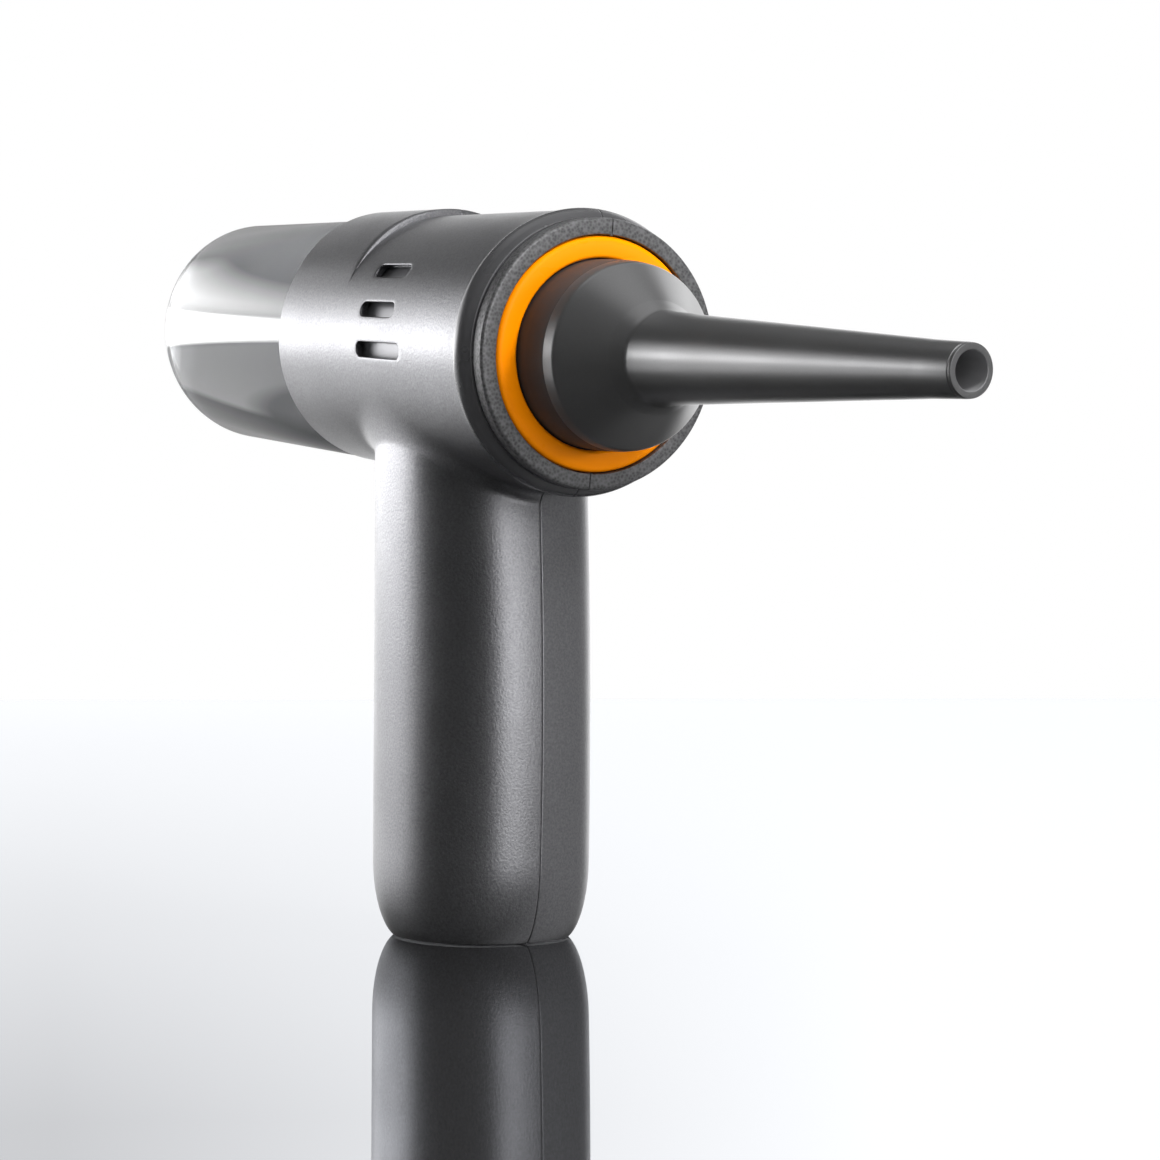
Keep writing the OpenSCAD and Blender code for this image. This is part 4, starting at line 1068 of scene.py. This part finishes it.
class PUMP_OT_nozzle(bpy.types.Operator):
    """Make the push-on nozzle with its puck, cone and tapered tube"""
    bl_idname = "pump.nozzle"
    bl_label = "Nozzle"

    def execute(self, context):
        bend_at, bend_over, rise = 12.5, 8, math.radians(0.85)      # the cone and tube rise a little

        def bent(station, side, up):
            far = station - bend_at
            turn = np.clip(far / bend_over, 0, 1) * rise
            return line_point(bend_at + far * np.cos(turn) - up * np.sin(turn), side,
                              up * np.cos(turn) + far * np.sin(turn))

        outline = [
            (17.9, -13.9, 0.5), (17.9, -2.0, 0.2), (19.2, -2.0, 0.3), (19.25, 3.0, 8), (19.05, 9.0, 8),
            (18.6, 12.5, 2.0), (11.2, 21.2, 2.5), (9.15, 24.0, 3.0), (9.1, 26.0, 2), (8.45, 36.0, 20),
            (7.9, 46.0, 20), (4.78, 104.0, 10), (4.52, 111.9, 0.1), (4.36, 112.0), (4.36, 112.15),
            (4.5, 112.25, 0.1), (4.42, 112.8, 0.12), (3.32, 112.8, 0.15), (3.32, 100.8), (7.6, 25.0, 2),
            (14.4, 11.5, 2), (14.8, -13.9, 0.3)]

        def finish_of(a, b):
            """0 for the gloss of the cone and tube, 1 for the puck's rim, 2 for the tube's bore, whose lighter
            grey is painted light.
            """
            radius, station = (a[0] + b[0]) / 2, (a[1] + b[1]) / 2
            if radius < 3.4:
                return 2
            return 1 if radius > 18.9 and station < 10.5 else 0

        finishes = [nozzle_finish(), matte_moulding(), bore_finish()]
        obj = turned("nozzle_turned", rounded(outline), finishes, bent, finish_of, smooth=30)
        finish_piece(obj, "nozzle_body", "nozzle_grey", "nozzle")
        return {"FINISHED"}


class PUMP_OT_neck(bpy.types.Operator):
    """Make the neck that the cup slides over, with its lugs and seal"""
    bl_idname = "pump.neck"
    bl_label = "Neck"

    def execute(self, context):
        black = black_plastic()
        outline = [
            (25.65, -96.2, 0.0), (26.8, -96.2, 0.3), (26.8, -97.9, 0.3), (25.65, -97.9, 0.2),
            (25.65, -112.4, 0.15), (24.8, -112.4, 0.1), (24.8, -114.4, 0.1), (25.65, -114.4, 0.15),
            (25.65, -116.0, 0.5), (23.45, -116.0, 0.3), (23.45, -94.0, 0.3), (25.65, -94.0, 0.4)]
        tube = turned("neck_tube_turned", rounded(outline), [black])
        finish_piece(tube, "housing", "dark_plastic", "neck_ring")
        lug = block("neck_lugs", (-109.3, -2.0, 25.3), (-104.3, 2.0, 26.35), 0.22, black)
        finish_piece(repeat_round(lug, black, 16), "housing", "dark_plastic")
        seal = np.array([25.75, -113.4]) + ring_points(0.95, 16)
        finish_piece(turned("cup_seal_ring", seal, [rubber_finish()]), "housing", "rubber", "cup_seal")
        return {"FINISHED"}


class PUMP_OT_filter(bpy.types.Operator):
    """Make the filter with its flange, cage, pleats and end cap"""
    bl_idname = "pump.filter"
    bl_label = "Filter"

    def execute(self, context):
        dark = slot_finishes()["filter_dark"]
        outline = [
            (20.4, -121.0), (26.2, -121.0, 0.35), (26.2, -119.8, 0.3), (25.2, -119.8, 0.2), (25.2, -117.5, 0.2),
            (26.2, -117.5, 0.3), (26.2, -116.3, 0.35), (23.25, -116.3, 0.2), (23.25, -108.3, 0.4),
            (20.4, -108.3, 0.3)]
        flange = turned("filter_flange", rounded(outline), [dark])
        rib = block("filter_ribs", (-150.4, -1.2, 20.4), (-120.6, 1.2, 22.0), 0.25, dark)
        ribs = repeat_round(rib, dark, 8)
        hoop = turned("filter_hoop", rod_outline(20.5, 21.8, -136.6, -134.8, 0.3), [dark])
        finish_piece(joined("filter_cage", [flange, ribs, hoop]), "housing", "filter_dark", "filter_frame")
        self.pleats()
        cap = [(0.0, -152.8), (15.0, -152.8, 0.5), (16.0, -152.2, 0.5), (19.6, -152.2, 0.5),
               (21.0, -152.8, 0.5), (22.4, -151.6, 0.6), (22.4, -150.3, 0.3), (0.0, -150.3)]
        finish_piece(turned("filter_end_cap", rounded(cap), [dark]), "housing", "filter_dark", "filter_cap")
        return {"FINISHED"}

    def pleats(self):
        """One fold of the paper, repeated round the filter and welded into one band."""
        paper = slot_finishes()["filter_paper"]
        count, outer, inner, bend, thick = 30, 20.2, 15.2, 0.25, 0.56
        half = math.pi / count
        turns = [0.0, 0.12, 0.88, 1.0, 1.12, 1.88, 2.0]      # in half folds
        radii = [outer, outer - bend, inner + bend, inner, inner + bend, outer - bend, outer]
        vertices, faces = [], []
        for depth in (0.0, thick):
            for station in (-109.5, -150.0):
                for turn, radius in zip(turns, radii):
                    a, r = turn * half, radius - depth
                    vertices.append(local(station, -r * math.sin(a), r * math.cos(a)))
        n = len(turns)
        for k in range(n - 1):
            faces.append((k, k + 1, n + k + 1, n + k))
            faces.append((2 * n + k, 3 * n + k, 3 * n + k + 1, 2 * n + k + 1))
            faces.append((k, 2 * n + k, 2 * n + k + 1, k + 1))
            faces.append((n + k, n + k + 1, 3 * n + k + 1, 3 * n + k))
        fold = new_object("filter_paper_band", vertices, faces, [paper], smooth=50)
        repeat_round(fold, paper, count, smooth=50)
        finish_piece(fold, "housing", "filter_paper", "filter_pleats")


class PUMP_OT_dust_cup(bpy.types.Operator):
    """Make the smoked clear cup"""
    bl_idname = "pump.dust_cup"
    bl_label = "Dust cup"

    def execute(self, context):
        outline = [
            (12.2, -182.3, 0.3), (29.0, -182.3, 3.5), (29.0, -99.8, 0.4), (26.8, -99.8, 0.4),
            (26.8, -180.1, 3.0), (12.2, -180.1, 0.3)]

        def wall_side(a, b):
            """0 outside the middle of the wall, 1 inside it."""
            outside = (a[0] + b[0]) / 2 > 27.9 or (a[1] + b[1]) / 2 < -181.2
            return 0 if outside else 1

        obj = turned("dust_cup_turned", rounded(outline), [cup_finish(), cup_inner_finish()], zones=wall_side)
        finish_piece(obj, "cup", "smoked_clear", "dust_cup")
        return {"FINISHED"}


class PUMP_OT_inlet(bpy.types.Operator):
    """Make the inlet tube with its flap and hinge"""
    bl_idname = "pump.inlet"
    bl_label = "Inlet"

    def execute(self, context):
        clear, rubber = cup_finish(), rubber_finish()
        outline = [
            (10.0, -182.3, 0.7), (12.0, -182.3, 0.3), (12.0, -180.1, 0.1), (13.6, -180.1, 0.2),
            (13.6, -178.9, 0.3), (12.0, -178.9, 0.3), (12.0, -169.3, 0.5), (10.0, -169.3, 0.5)]
        tube = turned("inlet_tube", rounded(outline), [clear])
        ears = []
        for side in (-1, 1):
            low, high = sorted((side * 4.0, side * 5.6))
            ears.append(block("inlet_ear", (-174.4, low, 11.3), (-166.7, high, 15.6), 0.35, clear, line_point))
        finish_piece(joined("inlet_tube_and_ears", [tube] + ears), "cup", "smoked_clear", "inlet_duct")
        knuckle = 3.7
        disc = plate("flap_disc", self.flap_outline(12.5, knuckle, 10.0),
                     [(0.3, 0), (0.1, 0.1), (0, 0.3), (0, 0.9), (0.1, 1.1), (0.3, 1.2)],
                     lambda y, z, depth: line_point(-167.8 - depth, y, z), rubber)
        pivot = line_point(-168.4, 0, 13.9) / MM
        on_pivot = across(pivot[0], pivot[2])
        roll = turned("flap_roll", rod_outline(0.85, 1.7, -knuckle, knuckle, 0.3), [rubber], on_pivot, steps=40)
        finish_piece(joined("flap_disc_and_roll", [disc, roll]), "flap", "rubber", "inlet_flap")
        steel = slot_finishes()["steel"]
        pin = turned("flap_pin_turned", rod_outline(0, 0.8, -5.6, 5.6, 0.2), [steel], on_pivot, steps=32)
        finish_piece(pin, "cup", "steel", "flap_pin")
        return {"FINISHED"}

    def flap_outline(self, reach, knuckle, flat):
        """Disc that steps in to a flat on both sides of its knuckle, which keeps its full reach."""
        low, top = math.acos(flat / reach), math.asin(knuckle / reach)
        crest, rest = np.linspace(-top, top, 9), np.linspace(low, 2 * math.pi - low, 56)
        points = [(reach * math.sin(q), reach * math.cos(q)) for q in crest] + [(knuckle, flat)]
        points += [(reach * math.sin(q), reach * math.cos(q)) for q in rest] + [(-knuckle, flat)]
        return points[::-1]


class PUMP_OT_trigger(bpy.types.Operator):
    """Make the trigger button with its grip ribs, and its spring"""
    bl_idname = "pump.trigger"
    bl_label = "Trigger"

    def execute(self, context):
        silver = slot_finishes()["trigger_silver"]

        def crowned(y, z, depth):
            """Front that bulges on a radius of 40 up and down and of 20 across, fading into the depth."""
            crown = 40 - np.sqrt(40 ** 2 - z * z) + 20 - np.sqrt(20 ** 2 - y * y)
            x = TRIGGER_FACE + crown * np.clip(1 - depth / 3, 0, 1) + depth
            return np.stack([x, -y, z + TRIGGER_Z], -1) * MM

        button = plate("trigger_cap", box_points(TRIGGER_W, TRIGGER_H, 1.9),
                       [(4.2, 0), (2.6, 0), (1.6, 0)] + edged(0.8, 8.0), crowned, silver)
        flange = block("trigger_flange", (-22.7, -6.4, 82.4), (-21.25, 6.4, 99.8), 0.3, silver)
        stem = block("trigger_stem", (-21.6, -1.5, 87.1), (-19.3, 1.5, 90.1), 0.3, silver)
        rib = block("trigger_rib", (TRIGGER_FACE + 0.02, -3.4, TRIGGER_Z - 4.3),
                    (TRIGGER_FACE + 1.2, 3.4, TRIGGER_Z - 3.6), 0.25, silver)
        ribs = repeat(rib, silver, 5, step=(0, 0, 1.975 * MM))
        finish_piece(joined("trigger_button_ribbed", [button, flange, stem, ribs]), "trigger", "trigger_silver",
                     "trigger_button")
        self.spring()
        return {"FINISHED"}

    def spring(self):
        """Coil between the button and its switch, from a spiral curve swept by a round wire."""
        tree, given = new_tree("Coil", Radius="Float", Length="Float", Turns="Float", Wire="Float",
                               Place="Vector", Finish="Material")
        spiral = add_node(tree, "GeometryNodeCurveSpiral", Resolution=40, Rotations=given["Turns"],
                          Start_Radius=given["Radius"], End_Radius=given["Radius"], Height=given["Length"])
        wire = add_node(tree, "GeometryNodeCurvePrimitiveCircle", Resolution=12, Radius=given["Wire"])
        sweep = add_node(tree, "GeometryNodeCurveToMesh", Curve=spiral, Profile_Curve=wire, Fill_Caps=True)
        place = add_node(tree, "GeometryNodeTransform", Geometry=sweep, Rotation=(0, math.pi / 2, 0),
                         Translation=given["Place"])
        real = add_node(tree, "GeometryNodeRealizeInstances", Geometry=place)
        finish = add_node(tree, "GeometryNodeSetMaterial", Geometry=real, Material=given["Finish"])
        add_node(tree, "NodeGroupOutput", Geometry=finish)

        low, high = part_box("trigger_spring")
        length, middle, wire, travel = high[0] - low[0], (low[2] + high[2]) / 2, 0.35 * MM, 2 * MM
        obj = new_object("trigger_spring_coil", [(0, 0, 0), (0, 0, MM), (0, MM, 0)], [(0, 1, 2)])
        run_tree(obj, tree, {
            "Radius": (high[2] - low[2]) / 2 - wire, "Length": length - 2 * wire, "Turns": 4.0, "Wire": wire,
            "Place": (low[0] + wire, 0.0, middle), "Finish": slot_finishes()["steel"]}, 60)
        finish_piece(obj, "housing", "steel", "trigger_spring")
        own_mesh(obj)


class PUMP_OT_back_fittings(bpy.types.Operator):
    """Make the charge port's cover, the status lens, the foot pad and the screws"""
    bl_idname = "pump.back_fittings"
    bl_label = "Back fittings"

    def execute(self, context):
        rubber, kinds = rubber_finish(), slot_finishes()
        self.cover(rubber)
        self.lens(kinds["lens"])
        self.pad(rubber)
        self.screws(kinds["steel"])
        return {"FINISHED"}

    def cover(self, rubber):
        """Plate that follows the handle's back, with a tab to pull and the rod that it turns on."""
        shape = HandleShape()

        def on_back(a, b, depth):
            z = b + PORT_Z + FIT
            x, y = section(shape.angle(shape.round - np.abs(a)), z, depth)
            return np.stack([x, -np.abs(y) * np.sign(a), z], -1) * MM

        layers = [(3.4, 0.15), (2.2, 0.15), (1.0, 0.15), (0.35, 0.2), (0.1, 0.35), (0, 0.6), (0, 1.1),
                  (0.15, 1.25)]
        cover = plate("port_cover_plate", box_points(COVER_W, COVER_H - 2 * FIT, 1.4), layers, on_back, rubber)
        tab = block("port_cover_tab", (-27.4, -2.2, 28.0), (-26.4, 2.2, 29.0), 0.35, rubber)
        rod = turned("port_cover_rod", rod_outline(0, 0.6, -3.5, 3.5, 0.15), [rubber], across(-26.0, 21.1),
                     steps=32)
        finish_piece(joined("port_cover_hinged", [cover, tab, rod]), "cover", "rubber", "port_cover")

    def lens(self, clear):
        """Small dome over the status light."""
        back, dome, depth_in = -26.75, 0.35, 8.0

        def on_back(a, b, depth):
            bulge = dome * np.clip(1 - (a * a + b * b) / (LENS_R * LENS_R), 0, 1)
            return np.stack([back - bulge * (depth < 1) + depth, -a, b + LENS_Z], -1) * MM

        layers = [(1.3, 0), (0.9, 0), (0.5, 0), (0.2, 0.02), (0, 0.15), (0, depth_in - 0.1), (0.1, depth_in)]
        lens = plate("status_lens_dome", ring_points(LENS_R - 0.02, 40), layers, on_back, clear)
        finish_piece(lens, "housing", "lens", "status_lens")

    def pad(self, rubber):
        """Pad under the foot, 5 inside its edge."""
        x, y = section(np.linspace(0, 2 * math.pi, 97)[:-1], FOOT_PROUD, 5.0)
        pad = plate("foot_pad_rounded", np.stack([x, y], -1)[::-1],
                    [(3, 0), (0.3, 0), (0.08, 0.08), (0, 0.3), (0, 1.4), (0.1, 1.5)],
                    lambda a, b, depth: np.stack([a, b, depth], -1) * MM, rubber)
        finish_piece(pad, "housing", "rubber", "foot_pad")

    def screws(self, steel):
        """Screws from side to side: a domed head with a recess, on a shank."""
        def screw(name):
            outline = rounded([(0.0, -9.0), (0.75, -9.0, 0.2), (1.0, -8.0), (1.0, 8.05), (2.5, 8.05, 0.15),
                               (2.5, 9.4, 0.5), (1.9, 10.0, 0.6), (1.2, 10.0, 0.08), (1.2, 8.8), (0.0, 8.8)])
            return turned(name, outline, [steel], across(0, 0), steps=48)

        low = repeat(screw("screws_low"), steel, 2, step=local(22, 0, 0), place=local(-11, 0, 8))
        high = repeat(screw("screw_high"), steel, 1, place=local(13, 0, 87.9))
        finish_piece(joined("housing_screws_socketed", [low, high]), "housing", "steel", "housing_screws")


class PUMP_OT_stage(bpy.types.Operator):
    """Make the floor, the studio lights and the camera"""
    bl_idname = "pump.stage"
    bl_label = "Stage"

    def execute(self, context):
        floor = make_floor()
        make_world()
        make_lights(floor)
        make_camera()
        return {"FINISHED"}


# ---- Stage ----

AIM = Vector((0.0, 0.0, 0.10))         # middle of the lamps and the domes
CAMERA_AT, CAMERA_LOOK = (0.4124, -0.2217, 0.0533), (-0.8564, 0.5136, 0.0538)
CAMERA_SENSOR, CAMERA_LENS = 36, 65.218966      # in millimetres
FLOOR_HALF, FLOOR_DARK = 16, (0.10, 0.10, 0.105)      # the floor's colour in the light that it throws back
GLANCE = (0.57, 0.75, 0.0, 0.985)      # how much the floor mirrors: from none to most, between two slants
WALL_GREY, WORLD_SOFT = 0.02, 0.18     # the world's level in gloss, and on everything else
# Lamps: azimuth and elevation in degrees, distance, width and height in metres, power in watts
LAMPS = {
    "left softbox": (211, 15.5, 1.1, 1.30, 0.57, 7),
    "right softbox": (-2, 10, 1.3, 1.05, 0.9, 7),
    "top softbox": (150, 75, 1.2, 1.2, 1.0, 10),
    "front key": (22, 44, 1.4, 0.4, 0.4, 22),
    "front fill": (348, 20, 1.4, 1.2, 1.0, 3.5),
    "right fill": (40, 5, 1.4, 0.8, 0.25, 7),
}
# Panels seen in gloss: middle azimuth and elevation, half width and height and softness in degrees, then level
PANELS = [
    (150, 12, 31, 20, 8, 0.3),
    (205, 10, 25, 5, 1.0, 5.4),
    (205, 19, 25, 6, 5, 2.0),
    (205, -4, 26, 9, 2, 0.5),
    (205, -20, 26, 8, 6, 0.1),
    (358, 8, 17, 18, 5, 2.3),
    (2, 40, 14, 9, 3, 3.0),
    (112, 38, 20, 14, 6, 1.6),
    (0, 80, 181, 16, 8, 0.5),
    (74, -30, 44, 60, 8, 0.2),
]
EDGE_PANELS = [(150, 9, 31, 20, 8, 1.75), (205, -4, 26, 9, 2, 0.9)]      # seen on all but the cup
# No two domes share a radius, because one would hide the other
PANELS_RADIUS, EDGE_RADIUS, BACKDROP_RADIUS = 2.4, 2.6, 40.0
# The backdrop that the floor mirrors falls off past an azimuth, more the higher it is
FADE_FROM, FADE_TO, FADE_TOP, FADE_SHARE = 141, 163, 11.0, 0.40


def ray_kinds(tree):
    """Whether a surface is seen by the camera or through glass, and whether it is seen in gloss."""
    path = tree.nodes.new("ShaderNodeLightPath").outputs
    return join_math(tree, "MAXIMUM", path["Is Camera Ray"], path["Is Transmission Ray"]), path["Is Glossy Ray"]


def mixed_shader(tree, share, first, second):
    mix = tree.nodes.new("ShaderNodeMixShader")
    for socket, source in zip(mix.inputs, (share, first, second)):
        tree.links.new(source, socket)
    return mix.outputs["Shader"]


def make_floor():
    """Pale floor, a part mirror at a glancing view, that gloss on the object passes through."""
    h = FLOOR_HALF
    obj = new_object("floor", [(-h, -h, 0), (h, -h, 0), (h, h, 0), (-h, h, 0)], [(0, 1, 2, 3)])
    m, tree, shader = material("pale floor", tuple(colours().floor), 0.6)
    seen, in_gloss = ray_kinds(tree)
    mirror = add_node(tree, "ShaderNodeBsdfGlossy", Color=(*colours().mirror, 1), Roughness=0.02)
    slant = add_node(tree, "ShaderNodeLayerWeight", Blend=0.5).outputs["Facing"]
    share = join_math(tree, "MULTIPLY", span(tree, slant, *GLANCE), seen)
    surface = mixed_shader(tree, share, shader.outputs["BSDF"], mirror.outputs["BSDF"])
    clear = add_node(tree, "ShaderNodeBsdfTransparent").outputs["BSDF"]
    surface = mixed_shader(tree, in_gloss, surface, clear)
    tree.links.new(surface, tree.nodes["Material Output"].inputs["Surface"])
    mixed_colour(tree, shader, seen, FLOOR_DARK, colours().floor)
    obj.data.materials.append(m)
    return obj


def make_world():
    """White to the camera and through glass, dark in gloss, soft on the object."""
    world = bpy.data.worlds.new("studio")
    bpy.context.scene.world = world
    world.use_nodes = True
    tree = world.node_tree
    shader = tree.nodes["Background"]
    seen, in_gloss = ray_kinds(tree)
    shader.inputs["Color"].default_value = (1, 1, 1, 1)
    level = join_math(tree, "MAXIMUM", seen, span(tree, in_gloss, 0, 1, WORLD_SOFT, WALL_GREY))
    tree.links.new(level, shader.inputs["Strength"])


def direction(azimuth, elevation):
    a, e = math.radians(azimuth), math.radians(elevation)
    return Vector((math.cos(a) * math.cos(e), math.sin(a) * math.cos(e), math.sin(e)))


def add_lamp(name, azimuth, elevation, distance, width, height, power):
    """Area lamp that lights the surfaces; its gloss comes from the panels."""
    lamp = bpy.data.lights.new(name, "AREA")
    lamp.shape = "RECTANGLE"
    lamp.size, lamp.size_y, lamp.energy = width, height, power
    obj = bpy.data.objects.new(name, lamp)
    away = direction(azimuth, elevation)
    obj.location = AIM + away * distance
    obj.rotation_euler = away.to_track_quat("Z", "Y").to_euler()
    obj.visible_camera = obj.visible_glossy = False
    bpy.context.scene.collection.objects.link(obj)


def make_dome(name, radius):
    """Round shell that only gloss sees; gives it, its tree, its emission and the seen azimuth and elevation."""
    columns, rows = 72, 36
    vertices = [AIM + direction(j * 360 / columns, -90 + i * 180 / rows) * radius
                for i in range(rows + 1) for j in range(columns)]
    faces = [face for i in range(rows) for face in band(i * columns, (i + 1) * columns, columns)]
    obj = new_object(name, vertices, faces)
    m = bpy.data.materials.new(name)
    m.use_nodes = True
    tree = m.node_tree
    tree.nodes.clear()
    glow, clear = add_node(tree, "ShaderNodeEmission"), add_node(tree, "ShaderNodeBsdfTransparent")
    both = tree.nodes.new("ShaderNodeAddShader")
    tree.links.new(glow.outputs[0], both.inputs[0])
    tree.links.new(clear.outputs[0], both.inputs[1])
    add_node(tree, "ShaderNodeOutputMaterial", Surface=both.outputs[0])
    where = add_node(tree, "ShaderNodeTexCoord").outputs["Object"]
    x, y, z = add_node(tree, "ShaderNodeSeparateXYZ", Vector=where).outputs
    degrees = 180 / math.pi
    azimuth = join_math(tree, "MULTIPLY", join_math(tree, "ARCTAN2", y, x), degrees)
    up = join_math(tree, "DIVIDE", join_math(tree, "SUBTRACT", z, AIM.z), radius)
    elevation = join_math(tree, "MULTIPLY", join_math(tree, "ARCSINE", up), degrees)
    obj.data.materials.append(m)
    obj.visible_camera = obj.visible_shadow = obj.visible_diffuse = obj.visible_transmission = False
    return obj, tree, glow, azimuth, elevation


def lit_by(source, state, *objs):
    """Limits what an emitter lights to some objects (INCLUDE), or to all but them (EXCLUDE)."""
    group = bpy.data.collections.new(source.name + " receivers")
    for obj in objs:
        group.objects.link(obj)
    for entry in group.collection_objects:
        entry.light_linking.link_state = state
    source.light_linking.receiver_collection = group


def make_panels(name, panels, radius, *unlit):
    """Dome with pale panels that the object's gloss shows."""
    obj, tree, glow, azimuth, elevation = make_dome(name, radius)
    level = 0.0
    for middle, height, half_width, half_height, soft, bright in panels:
        turn = join_math(tree, "FLOORED_MODULO", join_math(tree, "SUBTRACT", azimuth, middle - 180.0), 360.0)
        aside = join_math(tree, "ABSOLUTE", join_math(tree, "SUBTRACT", turn, 180.0))
        above = join_math(tree, "ABSOLUTE", join_math(tree, "SUBTRACT", elevation, float(height)))
        wide = span(tree, aside, half_width - soft, half_width + soft, bright, 0.0)
        tall = span(tree, above, half_height - soft, half_height + soft, 1.0, 0.0)
        level = join_math(tree, "MAXIMUM", join_math(tree, "MULTIPLY", wide, tall), level)
    tree.links.new(level, glow.inputs["Strength"])
    lit_by(obj, "EXCLUDE", *unlit)


def make_backdrop(floor):
    """Pale dome that the floor mirrors."""
    obj, tree, glow, azimuth, elevation = make_dome("studio_backdrop", BACKDROP_RADIUS)
    aside, above = span(tree, azimuth, FADE_FROM, FADE_TO), span(tree, elevation, 0, FADE_TOP)
    fade = join_math(tree, "MULTIPLY", join_math(tree, "MULTIPLY", aside, above), FADE_SHARE)
    fade = join_math(tree, "SUBTRACT", 1.0, fade)
    tree.links.new(join_math(tree, "DIVIDE", fade, colours().mirror[1]), glow.inputs["Strength"])
    lit_by(obj, "INCLUDE", floor)


def make_lights(floor):
    for name, values in LAMPS.items():
        add_lamp(name, *values)
    make_panels("studio_panels", PANELS, PANELS_RADIUS, floor)
    make_panels("studio_edge_panel", EDGE_PANELS, EDGE_RADIUS, floor, bpy.data.objects["dust_cup_turned"])
    make_backdrop(floor)


def make_camera():
    lens = bpy.data.cameras.new("camera")
    lens.sensor_width = CAMERA_SENSOR
    lens.lens = CAMERA_LENS
    lens.clip_end = 100
    obj = bpy.data.objects.new("camera", lens)
    obj.location = CAMERA_AT
    obj.rotation_euler = Vector(CAMERA_LOOK).to_track_quat("-Z", "Y").to_euler()
    bpy.context.scene.collection.objects.link(obj)
    bpy.context.scene.camera = obj
    bpy.context.scene.view_settings.view_transform = "Standard"


# ---- Panel and registration ----

class PUMP_PT_panel(bpy.types.Panel):
    """Lists the pump's settings and the steps that build it"""
    bl_idname = "PUMP_PT_panel"
    bl_label = "Air pump"
    bl_space_type = "VIEW_3D"
    bl_region_type = "UI"
    bl_category = "Air pump"

    def draw(self, context):
        for group in (context.scene.pump_sizes, context.scene.pump_colours):
            for key in group.__annotations__:
                self.layout.prop(group, key)
        for step in STEPS:
            self.layout.operator(step.bl_idname)


STEPS = (PUMP_OT_node_finishes, PUMP_OT_housing, PUMP_OT_outlet_ring, PUMP_OT_nozzle, PUMP_OT_neck,
         PUMP_OT_filter, PUMP_OT_dust_cup, PUMP_OT_inlet, PUMP_OT_trigger, PUMP_OT_back_fittings, PUMP_OT_stage)
CLASSES = (PumpSizes, PumpColours) + STEPS + (PUMP_PT_panel,)


def register():
    for c in CLASSES:
        bpy.utils.register_class(c)
    bpy.types.Scene.pump_sizes = PointerProperty(type=PumpSizes)
    bpy.types.Scene.pump_colours = PointerProperty(type=PumpColours)


def unregister():
    del bpy.types.Scene.pump_colours
    del bpy.types.Scene.pump_sizes
    for c in reversed(CLASSES):
        bpy.utils.unregister_class(c)


def main():
    register()
    for step in STEPS:
        group, name = step.bl_idname.split(".")
        getattr(getattr(bpy.ops, group), name)()


if __name__ == "__main__":
    main()
